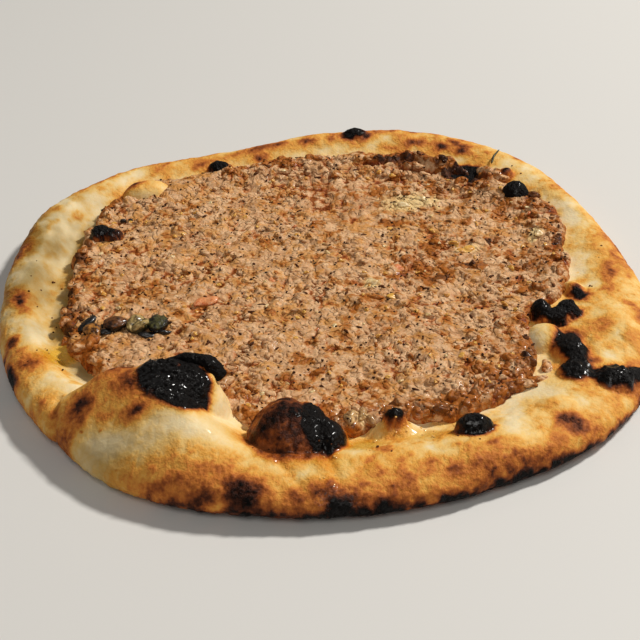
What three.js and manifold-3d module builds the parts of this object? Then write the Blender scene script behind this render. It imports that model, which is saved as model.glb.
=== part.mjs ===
// Meat manakish: a hand-stretched flatbread with a puffed, blistered rim, spread with minced meat.
// Millimetres, +Z up. The origin is under the middle of the bread, on the surface that it lies on.
// Angles are in degrees, anticlockwise from +X as seen from above.

import * as THREE from 'three';
import { mergeVertices } from 'three/addons/utils/BufferGeometryUtils.js';
import Module from 'manifold-3d';

const wasm = await Module();
wasm.setup();

// Sizes that shape the whole bread, each list in equal steps round it.
const edgeRadii = [
  128, 127, 130, 137, 137, 132, 125, 121, 127, 134, 135, 129,
  125, 123, 123, 124, 126, 124, 122, 122, 123, 128, 131, 130,
];
const rimHeights = [14, 15, 18, 20, 20, 16, 15, 16, 14, 13, 15, 16, 14, 13, 13, 13];
// Heights of the inner slope where it meets the meat.
const footHeights = [10, 11, 12, 13, 13, 11, 10, 8, 7, 6.5, 7, 7, 7, 7.5, 8, 9];
const crestShares = [ // place of the crest across the rim, from the edge
  0.34, 0.3, 0.3, 0.3, 0.32, 0.34, 0.34, 0.34, 0.34, 0.36, 0.4, 0.42, 0.42, 0.42, 0.4, 0.38,
];
const troughShares = [ // flat share of the inner slope, at its foot
  0.1, 0.1, 0.1, 0.1, 0.1, 0.1, 0.2, 0.4, 0.5, 0.45, 0.3, 0.2, 0.2, 0.2, 0.15, 0.1,
];
const toppingRadii = [
  98, 105, 115, 113, 113, 109, 104, 103.5, 108, 117, 111, 103,
  99.5, 100, 96, 84, 80, 84, 86, 86, 91, 95, 91, 85,
];
const floorThickness = 5; // dough under the meat
const widestShare = 0.36; // height of the rim's widest line, as a share of the rim's height
const undercut = 12; // how far the flat underside stops short of the edge
const shoulderPower = 0.85; // below 1 the rim's outer side is squarer than an ellipse
const footOverlap = 6; // how far the rim's inner slope runs on under the meat
const meatLevel = 14; // top of the meat above the surface the bread lies on
const meatSwell = 1.1; // how much the meat's top rises and falls
const meatEdge = 4; // least thickness of the meat near its edge
const brokenEdge = 2.8; // height of the upright break at the meat's very edge
const meatShoulder = 5; // width over which the meat's edge rounds off
const meatSettles = 25; // the meat is at its own level from here inwards
const floorShare = 0.74; // the dough thins from the foot in to this share of its radius
const gap = 0.35; // clearance between touching pieces
const buried = 1; // height inside the dough from which the meat's seat is cut

const columns = 120; // slices round the bread
const turn = 360;

// The puffed lobe: dough that swelled up behind two folds, so that its inner side is a steep step.
const lobe = {
  foldX: -60,
  foldY: -54,
  heading: 204, // direction of the first fold's line, out towards the edge
  turnX: -55,
  turnY: -59,
  turned: -15, // direction of the second fold's line, along the lobe's right half
  rise: 11, // width of the step
  height: 15,
  fullX: -54, // the lobe is at its full height up to here
  endX: -16, // and has sunk into the rim here
  innerRadius: 92, // full height inside this radius, falling to the rim's edge
};

// Blisters that swell out of the crust. Each is an ellipse with its middle, length, width and heading in
// the plan, the height of its foot, its height above that, the power that shapes its top (0.5 is a ball,
// 1 a rounded cone), and how softly its foot runs into the crust.
const blisters = [
  ['lobe', -51, -74, 30, 20, 4, 25.5, 4.5, 0.7, 4],
  ['front dome', -10.5, -89.5, 28, 27, -6, 9.5, 14, 0.5, 1.6],
  ['front dome right', 0.5, -93, 17, 18, -20, 9.5, 9, 0.5, 2],
  ['front knob', 25, -85, 19, 12, 0, 7, 6.2, 0.9, 5],
  ['front tip', 25, -83.5, 8, 7.8, 0, 11.6, 5.6, 0.5, 0.8],
  ['front bean', 51.5, -88.5, 13.5, 9.5, 12, 10.5, 7.2, 0.5, 1.2],
  ['front bump', 81, -77, 15, 12, 0, 10, 4, 0.7, 2],
  ['right ridge', 91.5, -45, 12, 24, 12, 10, 5.4, 0.55, 2.4],
  ['right ridge foot', 90.5, -57, 13, 12, 0, 9.5, 5.2, 0.55, 2.4],
  ['cream bubble', 83.5, -34, 16, 17, 0, 7, 8, 0.5, 1.4],
  ['crescent left', 84.5, -19, 10, 8, -50, 10.5, 6, 0.5, 2],
  ['crescent middle', 88.7, -23, 12, 8, -6, 10.5, 5.6, 0.5, 2],
  ['crescent right', 93.8, -19.5, 9, 10, 30, 10.5, 6.2, 0.5, 2],
  ['right tip', 99.5, -3, 8, 11, 20, 10, 4, 0.6, 2.4],
  ['right knob', 103.5, -62, 15, 14, 10, 10, 6.6, 0.5, 2.4],
  ['right end', 112, -59, 12, 8, 30, 10, 4.6, 0.6, 2.4],
  ['back right', 86, 68, 14, 11, -20, 12, 8.6, 0.5, 1.2],
  ['back right small', 83.5, 84, 7, 6, 0, 15, 4.2, 0.5, 1.5],
  ['back', 18, 118.5, 15, 9, 0, 17, 6, 0.6, 1.6],
  ['back left', -44, 97, 11.5, 9, 0, 12, 5.6, 0.5, 1.2],
  ['left bubble', -76, 79, 22, 13, 18, 11, 6.5, 0.5, 2.4],
  ['left knob outer', -91, 42, 9, 7, 20, 13.5, 2.6, 0.5, 1.2],
  ['left knob inner', -85, 41, 8.5, 6.5, -15, 13.5, 2.4, 0.5, 1.2],
  ['front swell', 60, -100, 60, 22, 8, 10, 4.5, 0.8, 4],
  ['right swell', 112, -30, 22, 40, 0, 10, 4.5, 0.8, 4],
  ['lobe collar', -38.5, -76.5, 17, 17, -10, 16, 6.5, 0.5, 2],
];
const steepness = 2; // how steeply a blister falls away outside its ellipse

// Grilled vegetable pieces in the meat, each a bent pod: its middle, size, turn and bend.
const vegetables = [
  { name: 'pepper_corner', x: -84, y: -31, length: 8.5, width: 6, height: 6, heading: -62, bend: 0.3 },
  { name: 'pepper_oval', x: -76, y: -26.4, length: 7.6, width: 6.4, height: 5.6, heading: 8, bend: 0.2 },
  { name: 'pepper_strip', x: -67.6, y: -27, length: 8.6, width: 7, height: 6, heading: 62, bend: 0 },
  { name: 'pepper_end', x: -60.3, y: -26, length: 8, width: 5.6, height: 5.4, heading: 70, bend: 0 },
];
const sunkShare = 0.55; // share of a vegetable piece's height that lies below the meat's top

const wrap = (index, count) => ((index % count) + count) % count;
const fromDegrees = (angle) => THREE.MathUtils.degToRad(angle);
const mix = THREE.MathUtils.lerp;

// The value at an angle on a smooth closed curve through equally spaced values.
function around(values, angle) {
  const place = (angle / turn) * values.length;
  const first = Math.floor(place);
  const t = place - first;
  const [before, start, end, after] = [-1, 0, 1, 2].map((step) => values[wrap(first + step, values.length)]);
  const slopeIn = (end - before) / 2;
  const slopeOut = (after - start) / 2;
  const cubic = 2 * (start - end) + slopeIn + slopeOut;
  const square = 3 * (end - start) - 2 * slopeIn - slopeOut;
  return ((cubic * t + square) * t + slopeIn) * t + start;
}

// How far a place lies past a line through a point, on its left as seen along its heading.
function pastLine(x, y, startX, startY, degrees) {
  const heading = fromDegrees(degrees);
  return (y - startY) * Math.cos(heading) - (x - startX) * Math.sin(heading);
}

// How high the puffed lobe lifts the crust at a place.
function lobeLift(x, y, radius, edge) {
  const pastFold = pastLine(x, y, lobe.foldX, lobe.foldY, lobe.heading);
  const pastTurn = -pastLine(x, y, lobe.turnX, lobe.turnY, lobe.turned);
  const step = THREE.MathUtils.smoothstep(Math.min(pastFold, pastTurn), 0, lobe.rise);
  const along = 1 - THREE.MathUtils.smoothstep(x, lobe.fullX, lobe.endX);
  const outward = THREE.MathUtils.smoothstep(edge - radius, 0, edge - lobe.innerRadius);
  return lobe.height * step * along * outward;
}

// Height of the crust at a place once its blisters have swollen: the higher of it and each blister,
// rounded where the two cross.
function swollen(x, y, height) {
  let top = height;
  for (const [, middleX, middleY, length, width, heading, foot, rise, power, soft] of blisters) {
    const turned = fromDegrees(heading);
    const along = (x - middleX) * Math.cos(turned) + (y - middleY) * Math.sin(turned);
    const across = (y - middleY) * Math.cos(turned) - (x - middleX) * Math.sin(turned);
    const reach = Math.hypot(along / (length / 2), across / (width / 2));
    const dome = rise * Math.max(0, 1 - reach * reach) ** power;
    const fall = steepness * Math.min(length, width) * THREE.MathUtils.clamp(reach - 1, 0, 1);
    const blister = foot + dome - fall;
    const close = THREE.MathUtils.clamp(1 - Math.abs(blister - top) / soft, 0, 1);
    top = Math.max(top, blister) + (close * close * soft) / 4;
  }
  return top;
}

// Height of the crust at an angle and radius, from its plain height; share is how much the blisters tell.
function crustHeight(angle, radius, edge, plain, share = 1) {
  const x = radius * Math.cos(fromDegrees(angle));
  const y = radius * Math.sin(fromDegrees(angle));
  const lifted = plain + lobeLift(x, y, radius, edge);
  return mix(lifted, swollen(x, y, lifted), share);
}

// The radii and heights that fix the rim's section at an angle.
function rimAt(angle) {
  const edge = around(edgeRadii, angle);
  const height = around(rimHeights, angle);
  const topping = around(toppingRadii, angle);
  const low = around(footHeights, angle);
  const trough = around(troughShares, angle);
  const foot = topping - footOverlap;
  const crest = mix(edge, foot, around(crestShares, angle));
  return { edge, height, topping, low, trough, foot, crest };
}

// Height of the rim's inner slope, a half cosine from the crest down to a level trough.
function slopeHeight(rim, radius) {
  const t = (rim.crest - radius) / (rim.crest - rim.foot) / (1 - rim.trough);
  const fall = (1 + Math.cos(Math.PI * THREE.MathUtils.clamp(t, 0, 1))) / 2;
  return rim.low + (rim.height - rim.low) * fall;
}

// The bread's section: a flat underside, a quarter ellipse out to the widest line, a squarer one up to
// the crest, the slope in to the meat, and the floor under the meat.
function breadSlice(angle) {
  const rim = rimAt(angle);
  const widest = rim.height * widestShare;
  const points = [0, 0.5].map((share) => new THREE.Vector2((rim.edge - undercut) * share, 0));
  const under = 3;
  for (let i = 0; i <= under; i += 1) {
    const swing = (Math.PI / 2) * (i / under);
    const radius = rim.edge - undercut * (1 - Math.sin(swing));
    points.push(new THREE.Vector2(radius, widest * (1 - Math.cos(swing))));
  }
  const over = 7;
  for (let i = 1; i <= over; i += 1) {
    const swing = (Math.PI / 2) * (i / over);
    const radius = mix(rim.crest, rim.edge, Math.cos(swing) ** shoulderPower);
    const height = mix(widest, rim.height, Math.sin(swing) ** shoulderPower);
    points.push(new THREE.Vector2(radius, crustHeight(angle, radius, rim.edge, height, i / over)));
  }
  const inner = 9;
  for (let i = 1; i <= inner; i += 1) {
    const radius = mix(rim.crest, rim.foot, i / inner);
    points.push(new THREE.Vector2(radius, crustHeight(angle, radius, rim.edge, slopeHeight(rim, radius))));
  }
  for (const share of [0.94, 0.88, 0.8, 0.7, 0.4]) {
    const radius = rim.foot * share;
    const plain = mix(floorThickness, rim.low, THREE.MathUtils.smoothstep(share, floorShare, 1));
    points.push(new THREE.Vector2(radius, crustHeight(angle, radius, rim.edge, plain)));
  }
  points.push(new THREE.Vector2(0, floorThickness));
  return points;
}

// Slow rise and fall of the meat's top, a sum of crossed waves between -1 and 1.
function meatWave(x, y) {
  const long = Math.sin(x / 17 + 1.1) * Math.cos(y / 21 - 0.4);
  const short = Math.sin(x / 8.3 - y / 11.9) * Math.sin(y / 7.1 + 0.8);
  return 0.6 * long + 0.4 * short;
}

// Height of the meat's top at a place: a steep broken edge over its seat, then easing to its own level.
function meatHeight(angle, radius, rim, inset) {
  const x = radius * Math.cos(fromDegrees(angle));
  const y = radius * Math.sin(fromDegrees(angle));
  const seat = slopeHeight(rim, rim.topping);
  const atEdge = Math.max(meatLevel, seat + meatEdge);
  const settled = THREE.MathUtils.smoothstep(rim.topping - radius, meatShoulder, meatSettles);
  const level = mix(atEdge, meatLevel, settled) + meatSwell * meatWave(x, y);
  const rounded = Math.sqrt(1 - (1 - inset) ** 2);
  return mix(seat + brokenEdge, level, rounded);
}

// The meat's section before its seat is cut: up its edge and in over the top.
function meatSlice(angle) {
  const rim = rimAt(angle);
  const points = [new THREE.Vector2(0, buried), new THREE.Vector2(rim.topping, buried)];
  for (const inset of [0, 0.12, 0.4, 1]) {
    const radius = rim.topping - inset * meatShoulder;
    points.push(new THREE.Vector2(radius, meatHeight(angle, radius, rim, inset)));
  }
  const rings = 8;
  for (let i = rings - 1; i >= 0; i -= 1) {
    const radius = ((rim.topping - meatShoulder) * i) / rings;
    points.push(new THREE.Vector2(radius, meatHeight(i ? angle : 0, radius, rim, 1)));
  }
  return points;
}

// A closed body turned round the Z axis, with its own section at each angle.
function turned(sliceAt, steps) {
  const profile = sliceAt(0);
  const geometry = new THREE.LatheGeometry(profile, steps);
  for (let column = 0; column <= steps; column += 1) {
    const angle = (turn * (column % steps)) / steps;
    const slice = sliceAt(angle);
    for (let row = 0; row < slice.length; row += 1) {
      const x = slice[row].x * Math.cos(fromDegrees(angle));
      const y = slice[row].x * Math.sin(fromDegrees(angle));
      geometry.attributes.position.setXYZ(column * slice.length + row, x, y, slice[row].y);
    }
  }
  return geometry;
}

// The solid inside a closed geometry, with its doubled vertices welded.
function solidOf(geometry) {
  const bare = geometry.clone();
  bare.deleteAttribute('normal');
  bare.deleteAttribute('uv');
  const welded = mergeVertices(bare, 1e-4);
  const corners = welded.index.array;
  const kept = [];
  for (let i = 0; i < corners.length; i += 3) {
    const [a, b, c] = corners.slice(i, i + 3);
    if (a !== b && b !== c && c !== a) kept.push(a, b, c);
  }
  return new wasm.Manifold(new wasm.Mesh({
    numProp: 3,
    vertProperties: new Float32Array(welded.attributes.position.array),
    triVerts: new Uint32Array(kept),
  }));
}

// The largest of a solid's separate bodies, so that no crumb is left where a dome breaks the meat's edge.
function largestBody(solid) {
  return solid.decompose().reduce((best, body) => (body.volume() > best.volume() ? body : best));
}

// A drawable geometry of a solid.
function geometryOf(solid) {
  const mesh = solid.getMesh();
  const geometry = new THREE.BufferGeometry();
  geometry.setAttribute('position', new THREE.BufferAttribute(mesh.vertProperties, 3));
  geometry.setIndex(new THREE.BufferAttribute(mesh.triVerts, 1));
  geometry.computeVertexNormals();
  return geometry;
}

// A vegetable piece: a ball drawn out to its size, bent along its length, with a ridge on top.
function vegetableSolid(piece, meatLifted) {
  const geometry = new THREE.SphereGeometry(0.5, 14, 10);
  const position = geometry.attributes.position;
  for (let i = 0; i < position.count; i += 1) {
    const along = position.getX(i);
    const across = position.getZ(i);
    const up = position.getY(i);
    const arch = piece.bend * (1 - 4 * along * along);
    const ridge = 0.6 * Math.exp(-30 * across * across) * Math.max(0, up);
    position.setXYZ(i, along * piece.length, -across * piece.width + arch, (up + ridge) * piece.height);
  }
  geometry.rotateZ(fromDegrees(piece.heading));
  const middle = meatLevel + piece.height * (0.5 - sunkShare);
  geometry.translate(piece.x, piece.y, middle);
  return solidOf(geometry).subtract(meatLifted);
}

function food(name, solid, colour, roughness) {
  const material = new THREE.MeshStandardMaterial({ color: colour, roughness, metalness: 0 });
  const mesh = new THREE.Mesh(geometryOf(solid), material);
  mesh.name = name;
  return mesh;
}

const bread = solidOf(turned(breadSlice, columns));
const meat = largestBody(solidOf(turned(meatSlice, columns)).subtract(bread.translate([0, 0, gap])));
const manakish = new THREE.Group();
manakish.add(food('bread', bread, 0xd9a45c, 0.7));
manakish.add(food('meat_topping', meat, 0xb07f55, 0.6));
for (const piece of vegetables) {
  const body = vegetableSolid(piece, meat.translate([0, 0, gap]));
  manakish.add(food(piece.name, body, 0x5b4a26, 0.4));
}

// The origin goes under the middle of the bread's own box.
const middle = new THREE.Box3().setFromObject(manakish).getCenter(new THREE.Vector3());
manakish.position.set(-middle.x, -middle.y, 0);

export default manakish;
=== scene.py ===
from itertools import product
import math

import bpy
import numpy as np
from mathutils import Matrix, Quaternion, Vector


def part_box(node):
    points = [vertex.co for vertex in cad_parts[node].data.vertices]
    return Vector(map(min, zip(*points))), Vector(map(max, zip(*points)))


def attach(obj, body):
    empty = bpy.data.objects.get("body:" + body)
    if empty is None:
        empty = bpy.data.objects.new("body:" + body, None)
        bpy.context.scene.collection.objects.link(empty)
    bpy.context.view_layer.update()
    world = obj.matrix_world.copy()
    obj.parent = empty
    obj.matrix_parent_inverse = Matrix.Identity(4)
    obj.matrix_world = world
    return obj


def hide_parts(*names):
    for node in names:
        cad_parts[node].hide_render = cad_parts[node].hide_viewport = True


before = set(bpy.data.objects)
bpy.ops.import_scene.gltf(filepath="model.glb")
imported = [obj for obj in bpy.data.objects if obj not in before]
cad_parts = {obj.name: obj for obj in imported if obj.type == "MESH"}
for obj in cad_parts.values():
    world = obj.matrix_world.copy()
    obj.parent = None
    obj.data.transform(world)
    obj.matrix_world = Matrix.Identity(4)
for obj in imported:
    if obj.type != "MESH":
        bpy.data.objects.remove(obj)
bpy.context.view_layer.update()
breadLow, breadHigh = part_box("bread")

# Shapes are drawn in millimetres in the baker's own plan, angles in degrees anticlockwise from +X.
# seat carries the plan into the frame: one scale and one shift, both taken from the bread's CAD box.

baking = {
    "edgeRadii": [128, 127, 130, 137, 137, 132, 125, 121, 127, 134, 135, 129,
                  125, 123, 123, 124, 126, 124, 122, 122, 123, 128, 131, 130],
    "rimHeights": [14, 15, 18, 20, 20, 16, 15, 16, 14, 13, 15, 16, 14, 13, 13, 13],
    "toppingRadii": [98, 105, 115, 113, 113, 109, 104, 103.5, 108, 117, 111, 103,
                     99.5, 100, 96, 84, 82, 88, 87, 86, 91, 95, 91, 85],
    # place of the crest across the rim, as a share from the edge
    "crestShares": [0.34, 0.3, 0.3, 0.3, 0.32, 0.34, 0.34, 0.34,
                    0.34, 0.36, 0.4, 0.42, 0.42, 0.42, 0.4, 0.38],
    "footHeights": [10, 11, 12, 13, 13, 11, 10, 8, 7, 6.5, 7, 7, 7, 7.5, 8, 9],
    # flat share of the inner slope, at its foot
    "troughShares": [0.1, 0.1, 0.1, 0.1, 0.1, 0.1, 0.2, 0.4, 0.5, 0.45, 0.3, 0.2, 0.2, 0.2, 0.15, 0.1],
    "floorThickness": 5,
    "floorShare": 0.74,      # the dough thins from the foot in to this share of its radius
    "widestShare": 0.36,     # height of the widest line, as a share of the rim's height
    "undercut": 12,          # the flat underside stops this far short of the edge
    "shoulderPower": 0.85,   # below 1 the outer side is squarer than an ellipse
    "footOverlap": 6,        # the inner slope runs on this far under the meat
    "columns": 1000,
}


def eased(value, start, end):  # smooth step from 0 at start to 1 at end
    t = np.clip((value - start) / (end - start), 0, 1)
    return t * t * (3 - 2 * t)


def blend(first, second, share):
    return first + (second - first) * share


def direction(angle):  # unit vector in the plan at an angle in degrees
    return np.cos(np.radians(angle)), np.sin(np.radians(angle))


def around(values, angle):  # smooth closed cubic through equally spaced values
    values = np.asarray(values, float)
    place = np.asarray(angle, float) / 360 * len(values)
    first = np.floor(place).astype(int)
    t = place - first
    before, start, end, after = (values[(first + step) % len(values)] for step in (-1, 0, 1, 2))
    slopeIn, slopeOut = (end - before) / 2, (after - start) / 2
    cubic = 2 * (start - end) + slopeIn + slopeOut
    square = 3 * (end - start) - 2 * slopeIn - slopeOut
    return ((cubic * t + square) * t + slopeIn) * t + start


hashFactors = (73856093, 19349663, 83492791, 265443577)  # one for each whole number that is hashed
hashMixers = ((15, 2246822519), (13, 3266489917))        # a shift and a factor for each stirring
hashMask = 0xffffffff
cubeCorners = list(product((0, 1), repeat=3))
cubesBeside = list(product((-1, 0, 1), repeat=3))
squaresBeside = list(product((-1, 0, 1), repeat=2))


def hashed(x, y, z, seed):  # an even number between 0 and 1 for each whole place
    word = 0
    for value, factor in zip((x, y, z, seed), hashFactors):
        word = word ^ (value * factor)
    word = word & hashMask
    for shift, factor in hashMixers:
        word = ((word ^ (word >> shift)) * factor) & hashMask
    return (word ^ (word >> 16)) / hashMask


def noise(places, size, seed):  # smooth noise, -1 to 1: hashed corners of cubes of this size, eased between
    scaled = places / size
    corner = np.floor(scaled).astype(np.int64)
    part = scaled - corner
    part = part * part * (3 - 2 * part)
    total = 0
    for steps in cubeCorners:
        weight = 1
        for axis, step in enumerate(steps):
            weight = weight * (part[..., axis] if step else 1 - part[..., axis])
        total = total + weight * hashed(*np.moveaxis(corner + steps, -1, 0), seed)
    return 2 * total - 1


def rough(places, size, seed, octaves=3):  # noise of several sizes, each half of the last and half as strong
    total = sum(noise(places, size / 2 ** k, seed + k) / 2 ** k for k in range(octaves))
    return total / (2 - 2 / 2 ** octaves)


def cells(places, size, seed):
    # One random point in each cube of this size: distances to the nearest and the next, in sizes, and the
    # nearest point's own number between 0 and 1.
    scaled = places / size
    corner = np.floor(scaled).astype(np.int64)
    nearest = np.full(places.shape[:-1], 9.0)
    second = nearest.copy()
    number = np.zeros(places.shape[:-1])
    for steps in cubesBeside:
        cube = np.moveaxis(corner + steps, -1, 0)
        gap = sum((cube[axis] + hashed(*cube, seed + axis) - scaled[..., axis]) ** 2 for axis in range(3))
        closer = gap < nearest
        second = np.where(closer, nearest, np.minimum(second, gap))
        number = np.where(closer, hashed(*cube, seed + 3), number)
        nearest = np.where(closer, gap, nearest)
    return np.sqrt(nearest), np.sqrt(second), number


def lumps(x, y, size, seed):
    # Soft caps that run together: one at a random point in each square of this size, of random height and
    # width. Gives their summed height, and a number that blends between the caps' own.
    column, row = np.floor(x / size).astype(np.int64), np.floor(y / size).astype(np.int64)
    height, total, number = 0, 1e-6, 0
    for dx, dy in squaresBeside:
        own = [hashed(column + dx, row + dy, 0, seed + k) for k in range(6)]
        gapX, gapY = x - (column + dx + own[0]) * size, y - (row + dy + own[1]) * size
        cosine, sine = np.cos(np.pi * own[5]), np.sin(np.pi * own[5])
        along, across = gapX * cosine + gapY * sine, gapY * cosine - gapX * sine
        spread = size * (0.3 + 0.22 * own[2])
        share = np.exp(-(along / spread) ** 2 * 0.6 - (across / spread) ** 2 * 1.2)
        height = height + (0.25 + own[3]) * share
        total = total + share ** 2
        number = number + own[4] * share ** 2
    return height, number / total


def plane(x, y):  # places on the plan as points with no height
    return np.stack([x, y, np.zeros_like(x)], -1)


def polar(x, y):  # angle in degrees, 0 to 360, and radius of places on the plan
    return np.degrees(np.arctan2(y, x)) % 360, np.hypot(x, y)


rimAngles = np.arange(0, 360, 0.25)
rimX, rimY = (part * around(baking["edgeRadii"], rimAngles) for part in direction(rimAngles))
planMiddle = np.array([(rimX.max() + rimX.min()) / 2, (rimY.max() + rimY.min()) / 2, 0])
planScale = (breadHigh.x - breadLow.x) / (rimX.max() - rimX.min())  # metres for each drawn millimetre
frameMiddle = np.array([(breadLow.x + breadHigh.x) / 2, (breadLow.y + breadHigh.y) / 2, breadLow.z])


def seat(points):  # from the plan to the frame
    return (points - planMiddle) * planScale + frameMiddle


def unseat(points):  # and back
    return (np.array(points) - frameMiddle) / planScale + planMiddle


def ringFaces(rings, columns):
    # Triangles of a closed form: pole, rings of columns points from the bottom up, pole.
    column = np.arange(columns)
    beside = (column + 1) % columns
    last = rings * columns + 1
    bottom = np.stack([np.zeros(columns, int), 1 + beside, 1 + column], -1)
    top = np.stack([np.full(columns, last), last - columns + column, last - columns + beside], -1)
    row = 1 + columns * np.arange(rings - 1)[:, None]
    a, b, c, d = row + column, row + beside, row + columns + beside, row + columns + column
    sides = np.stack([np.stack([a, b, c], -1), np.stack([a, c, d], -1)]).reshape(-1, 3)
    return np.concatenate([bottom, sides, top])


def repeated(faces, count, vertices):  # the same faces for count bodies of so many vertices each
    return (faces[None] + vertices * np.arange(count)[:, None, None]).reshape(-1, 3)


def turned(first, second, angle):  # a pair of coordinates turned by n angles, the first towards the second
    cosine, sine = np.cos(angle)[:, None], np.sin(angle)[:, None]
    return first * cosine - second * sine, first * sine + second * cosine


def spun(vectors, yaw, pitch, roll):  # vectors [n, v, 3] turned about X, then Y, then Z by n angles each
    x, y, z = (vectors[..., axis] for axis in range(3))
    y, z = turned(y, z, roll)
    z, x = turned(z, x, pitch)
    x, y = turned(x, y, yaw)
    return np.stack([x, y, z], -1)


def ballPoints(rings, columns):  # a unit ball's points: pole, rings, pole
    down = np.pi * (1 - np.arange(1, rings + 1) / (rings + 1))[:, None]
    turn = 2 * np.pi * np.arange(columns) / columns
    ball = np.stack([np.sin(down) * np.cos(turn), np.sin(down) * np.sin(turn), np.cos(down) + 0 * turn], -1)
    return np.concatenate([[[0, 0, -1]], ball.reshape(-1, 3), [[0, 0, 1]]])


def tubeRings(middle, side, up, half, columns):
    # Rings across a path: side times cosine plus up times sine is the way out from the path's point to each
    # point of its ring, and half is how far. Gives the rings and the ways out.
    turn = 2 * np.pi * np.arange(columns) / columns
    wayOut = side[..., None, :] * np.cos(turn)[:, None] + up[..., None, :] * np.sin(turn)[:, None]
    return middle[:, None] + wayOut * half[:, None, None], wayOut


heightCell = 0.5  # side of the squares over which the highest points are remembered
heightHalf = 270  # squares from the middle out to each side
heapMap, crustMap = np.zeros((2, 2 * heightHalf, 2 * heightHalf))


def mapCells(x, y, dx=0, dy=0):
    column, row = ((part / heightCell).astype(int) + heightHalf for part in (x, y))
    return np.clip(row + dy, 0, 2 * heightHalf - 1), np.clip(column + dx, 0, 2 * heightHalf - 1)


def noteHeights(heights, points):  # remembers the highest point over each small square of the plan
    flat = points.reshape(-1, 3)
    np.maximum.at(heights, mapCells(flat[:, 0], flat[:, 1]), flat[:, 2])


def heightOver(heights, x, y):  # the highest point remembered within a square of a place
    return np.max([heights[mapCells(x, y, dx, dy)] for dx, dy in squaresBeside], axis=0)


def makePiece(name, points, faces, finish, marks=None, replaced=()):
    # A mesh object from plan points and triangles. Each mark is a number for every point, or one for all.
    mesh = bpy.data.meshes.new(name)
    placed = np.ascontiguousarray(seat(points.reshape(-1, 3)), np.float32)
    mesh.vertices.add(len(placed))
    mesh.vertices.foreach_set("co", placed.ravel())
    mesh.loops.add(faces.size)
    mesh.loops.foreach_set("vertex_index", faces.astype(np.int32).ravel())
    mesh.polygons.add(len(faces))
    mesh.polygons.foreach_set("loop_start", np.arange(0, faces.size, 3, dtype=np.int32))
    mesh.update(calc_edges=True)
    mesh.shade_smooth()
    for mark, values in (marks or {}).items():
        layer = mesh.attributes.new(mark, "FLOAT", "POINT")
        spread = np.broadcast_to(values, points.shape[:-1])
        layer.data.foreach_set("value", np.ascontiguousarray(spread, np.float32).ravel())
    mesh.materials.append(finish)
    piece = bpy.data.objects.new(name, mesh)
    bpy.context.scene.collection.objects.link(piece)
    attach(piece, "root")
    if replaced:
        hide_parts(*replaced)
    print(f"{name}: {len(faces)} triangles")


def paint(red, green, blue):  # a colour given as 0 to 255 on screen, as the shader's linear light
    parts = np.array([red, green, blue]) / 255
    linear = np.where(parts <= 0.04045, parts / 12.92, ((parts + 0.055) / 1.055) ** 2.4)
    return (*(float(part) for part in linear), 1.0)


class Wire:
    # A value's socket in a node tree. Sums on it add Math nodes.
    def __init__(self, finish, socket):
        self.finish = finish
        self.socket = socket

    def __add__(self, other):
        return self.finish.math("ADD", self, other)

    def __radd__(self, other):
        return self.finish.math("ADD", other, self)

    def __sub__(self, other):
        return self.finish.math("SUBTRACT", self, other)

    def __rsub__(self, other):
        return self.finish.math("SUBTRACT", other, self)

    def __mul__(self, other):
        return self.finish.math("MULTIPLY", self, other)

    def __rmul__(self, other):
        return self.finish.math("MULTIPLY", other, self)

    def held(self):  # kept between 0 and 1
        return self.finish.node("ShaderNodeClamp", {}, {"Value": self})

    def stepped(self, start, end):  # smooth step from 0 at start to 1 at end
        inputs = {"Value": self, "From Min": start, "From Max": end}
        return self.finish.node("ShaderNodeMapRange", {"interpolation_type": "SMOOTHSTEP"}, inputs)


class Finish:
    # One material: a Principled shader, its constants, and the nodes that feed it.
    def __init__(self, name, constants):
        self.material = bpy.data.materials.new(name)
        self.material.use_nodes = True
        self.tree = self.material.node_tree
        self.shader = self.tree.nodes["Principled BSDF"]
        for socket, value in constants.items():
            self.shader.inputs[socket].default_value = value
        self.place = self.node("ShaderNodeTexCoord", {}, {}, "Object")

    def node(self, kind, settings, inputs, output=0):
        made = self.tree.nodes.new(kind)
        for name, value in settings.items():
            if name == "stops":
                self.setStops(made.color_ramp, value)
            else:
                setattr(made, name, value)
        for name, value in inputs.items():
            if isinstance(value, Wire):
                self.tree.links.new(value.socket, made.inputs[name])
            else:
                made.inputs[name].default_value = value
        return Wire(self, made.outputs[output])

    def setStops(self, ramp, stops):
        while len(ramp.elements) < len(stops):
            ramp.elements.new(1.0)
        for element, (position, colour) in zip(ramp.elements, stops):
            element.position = position
            element.color = colour

    def math(self, operation, *values):
        return self.node("ShaderNodeMath", {"operation": operation}, dict(enumerate(values)))

    def mark(self, name):  # a number kept at each point of the mesh
        return self.node("ShaderNodeAttribute", {"attribute_name": name}, {}, "Fac")

    def grain(self, size, detail=3.0, roughness=0.6):  # noise whose lumps are this many metres
        inputs = {"Vector": self.place, "Scale": 1 / size, "Detail": detail, "Roughness": roughness}
        return self.node("ShaderNodeTexNoise", {}, inputs, "Fac")

    def pebbles(self, size):  # distance to the nearest of points scattered this many metres apart
        return self.node("ShaderNodeTexVoronoi", {}, {"Vector": self.place, "Scale": 1 / size}, "Distance")

    def ramp(self, value, stops):
        return self.node("ShaderNodeValToRGB", {"stops": stops}, {"Fac": value}, "Color")

    def mixed(self, share, first, second, way="MIX"):
        settings = {"data_type": "RGBA", "blend_type": way, "clamp_factor": True}
        return self.node("ShaderNodeMix", settings, {0: share, 6: first, 7: second}, 2)

    def bumped(self, height, distance, strength=1.0):
        inputs = {"Height": height, "Distance": distance, "Strength": strength}
        return self.node("ShaderNodeBump", {}, inputs, "Normal")

    def feed(self, colour, roughness, normal, coat=None):
        wires = {"Base Color": colour, "Roughness": roughness, "Normal": normal, "Coat Weight": coat}
        for name, wire in wires.items():
            if wire is not None:
                self.tree.links.new(wire.socket, self.shader.inputs[name])
        return self.material


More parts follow.
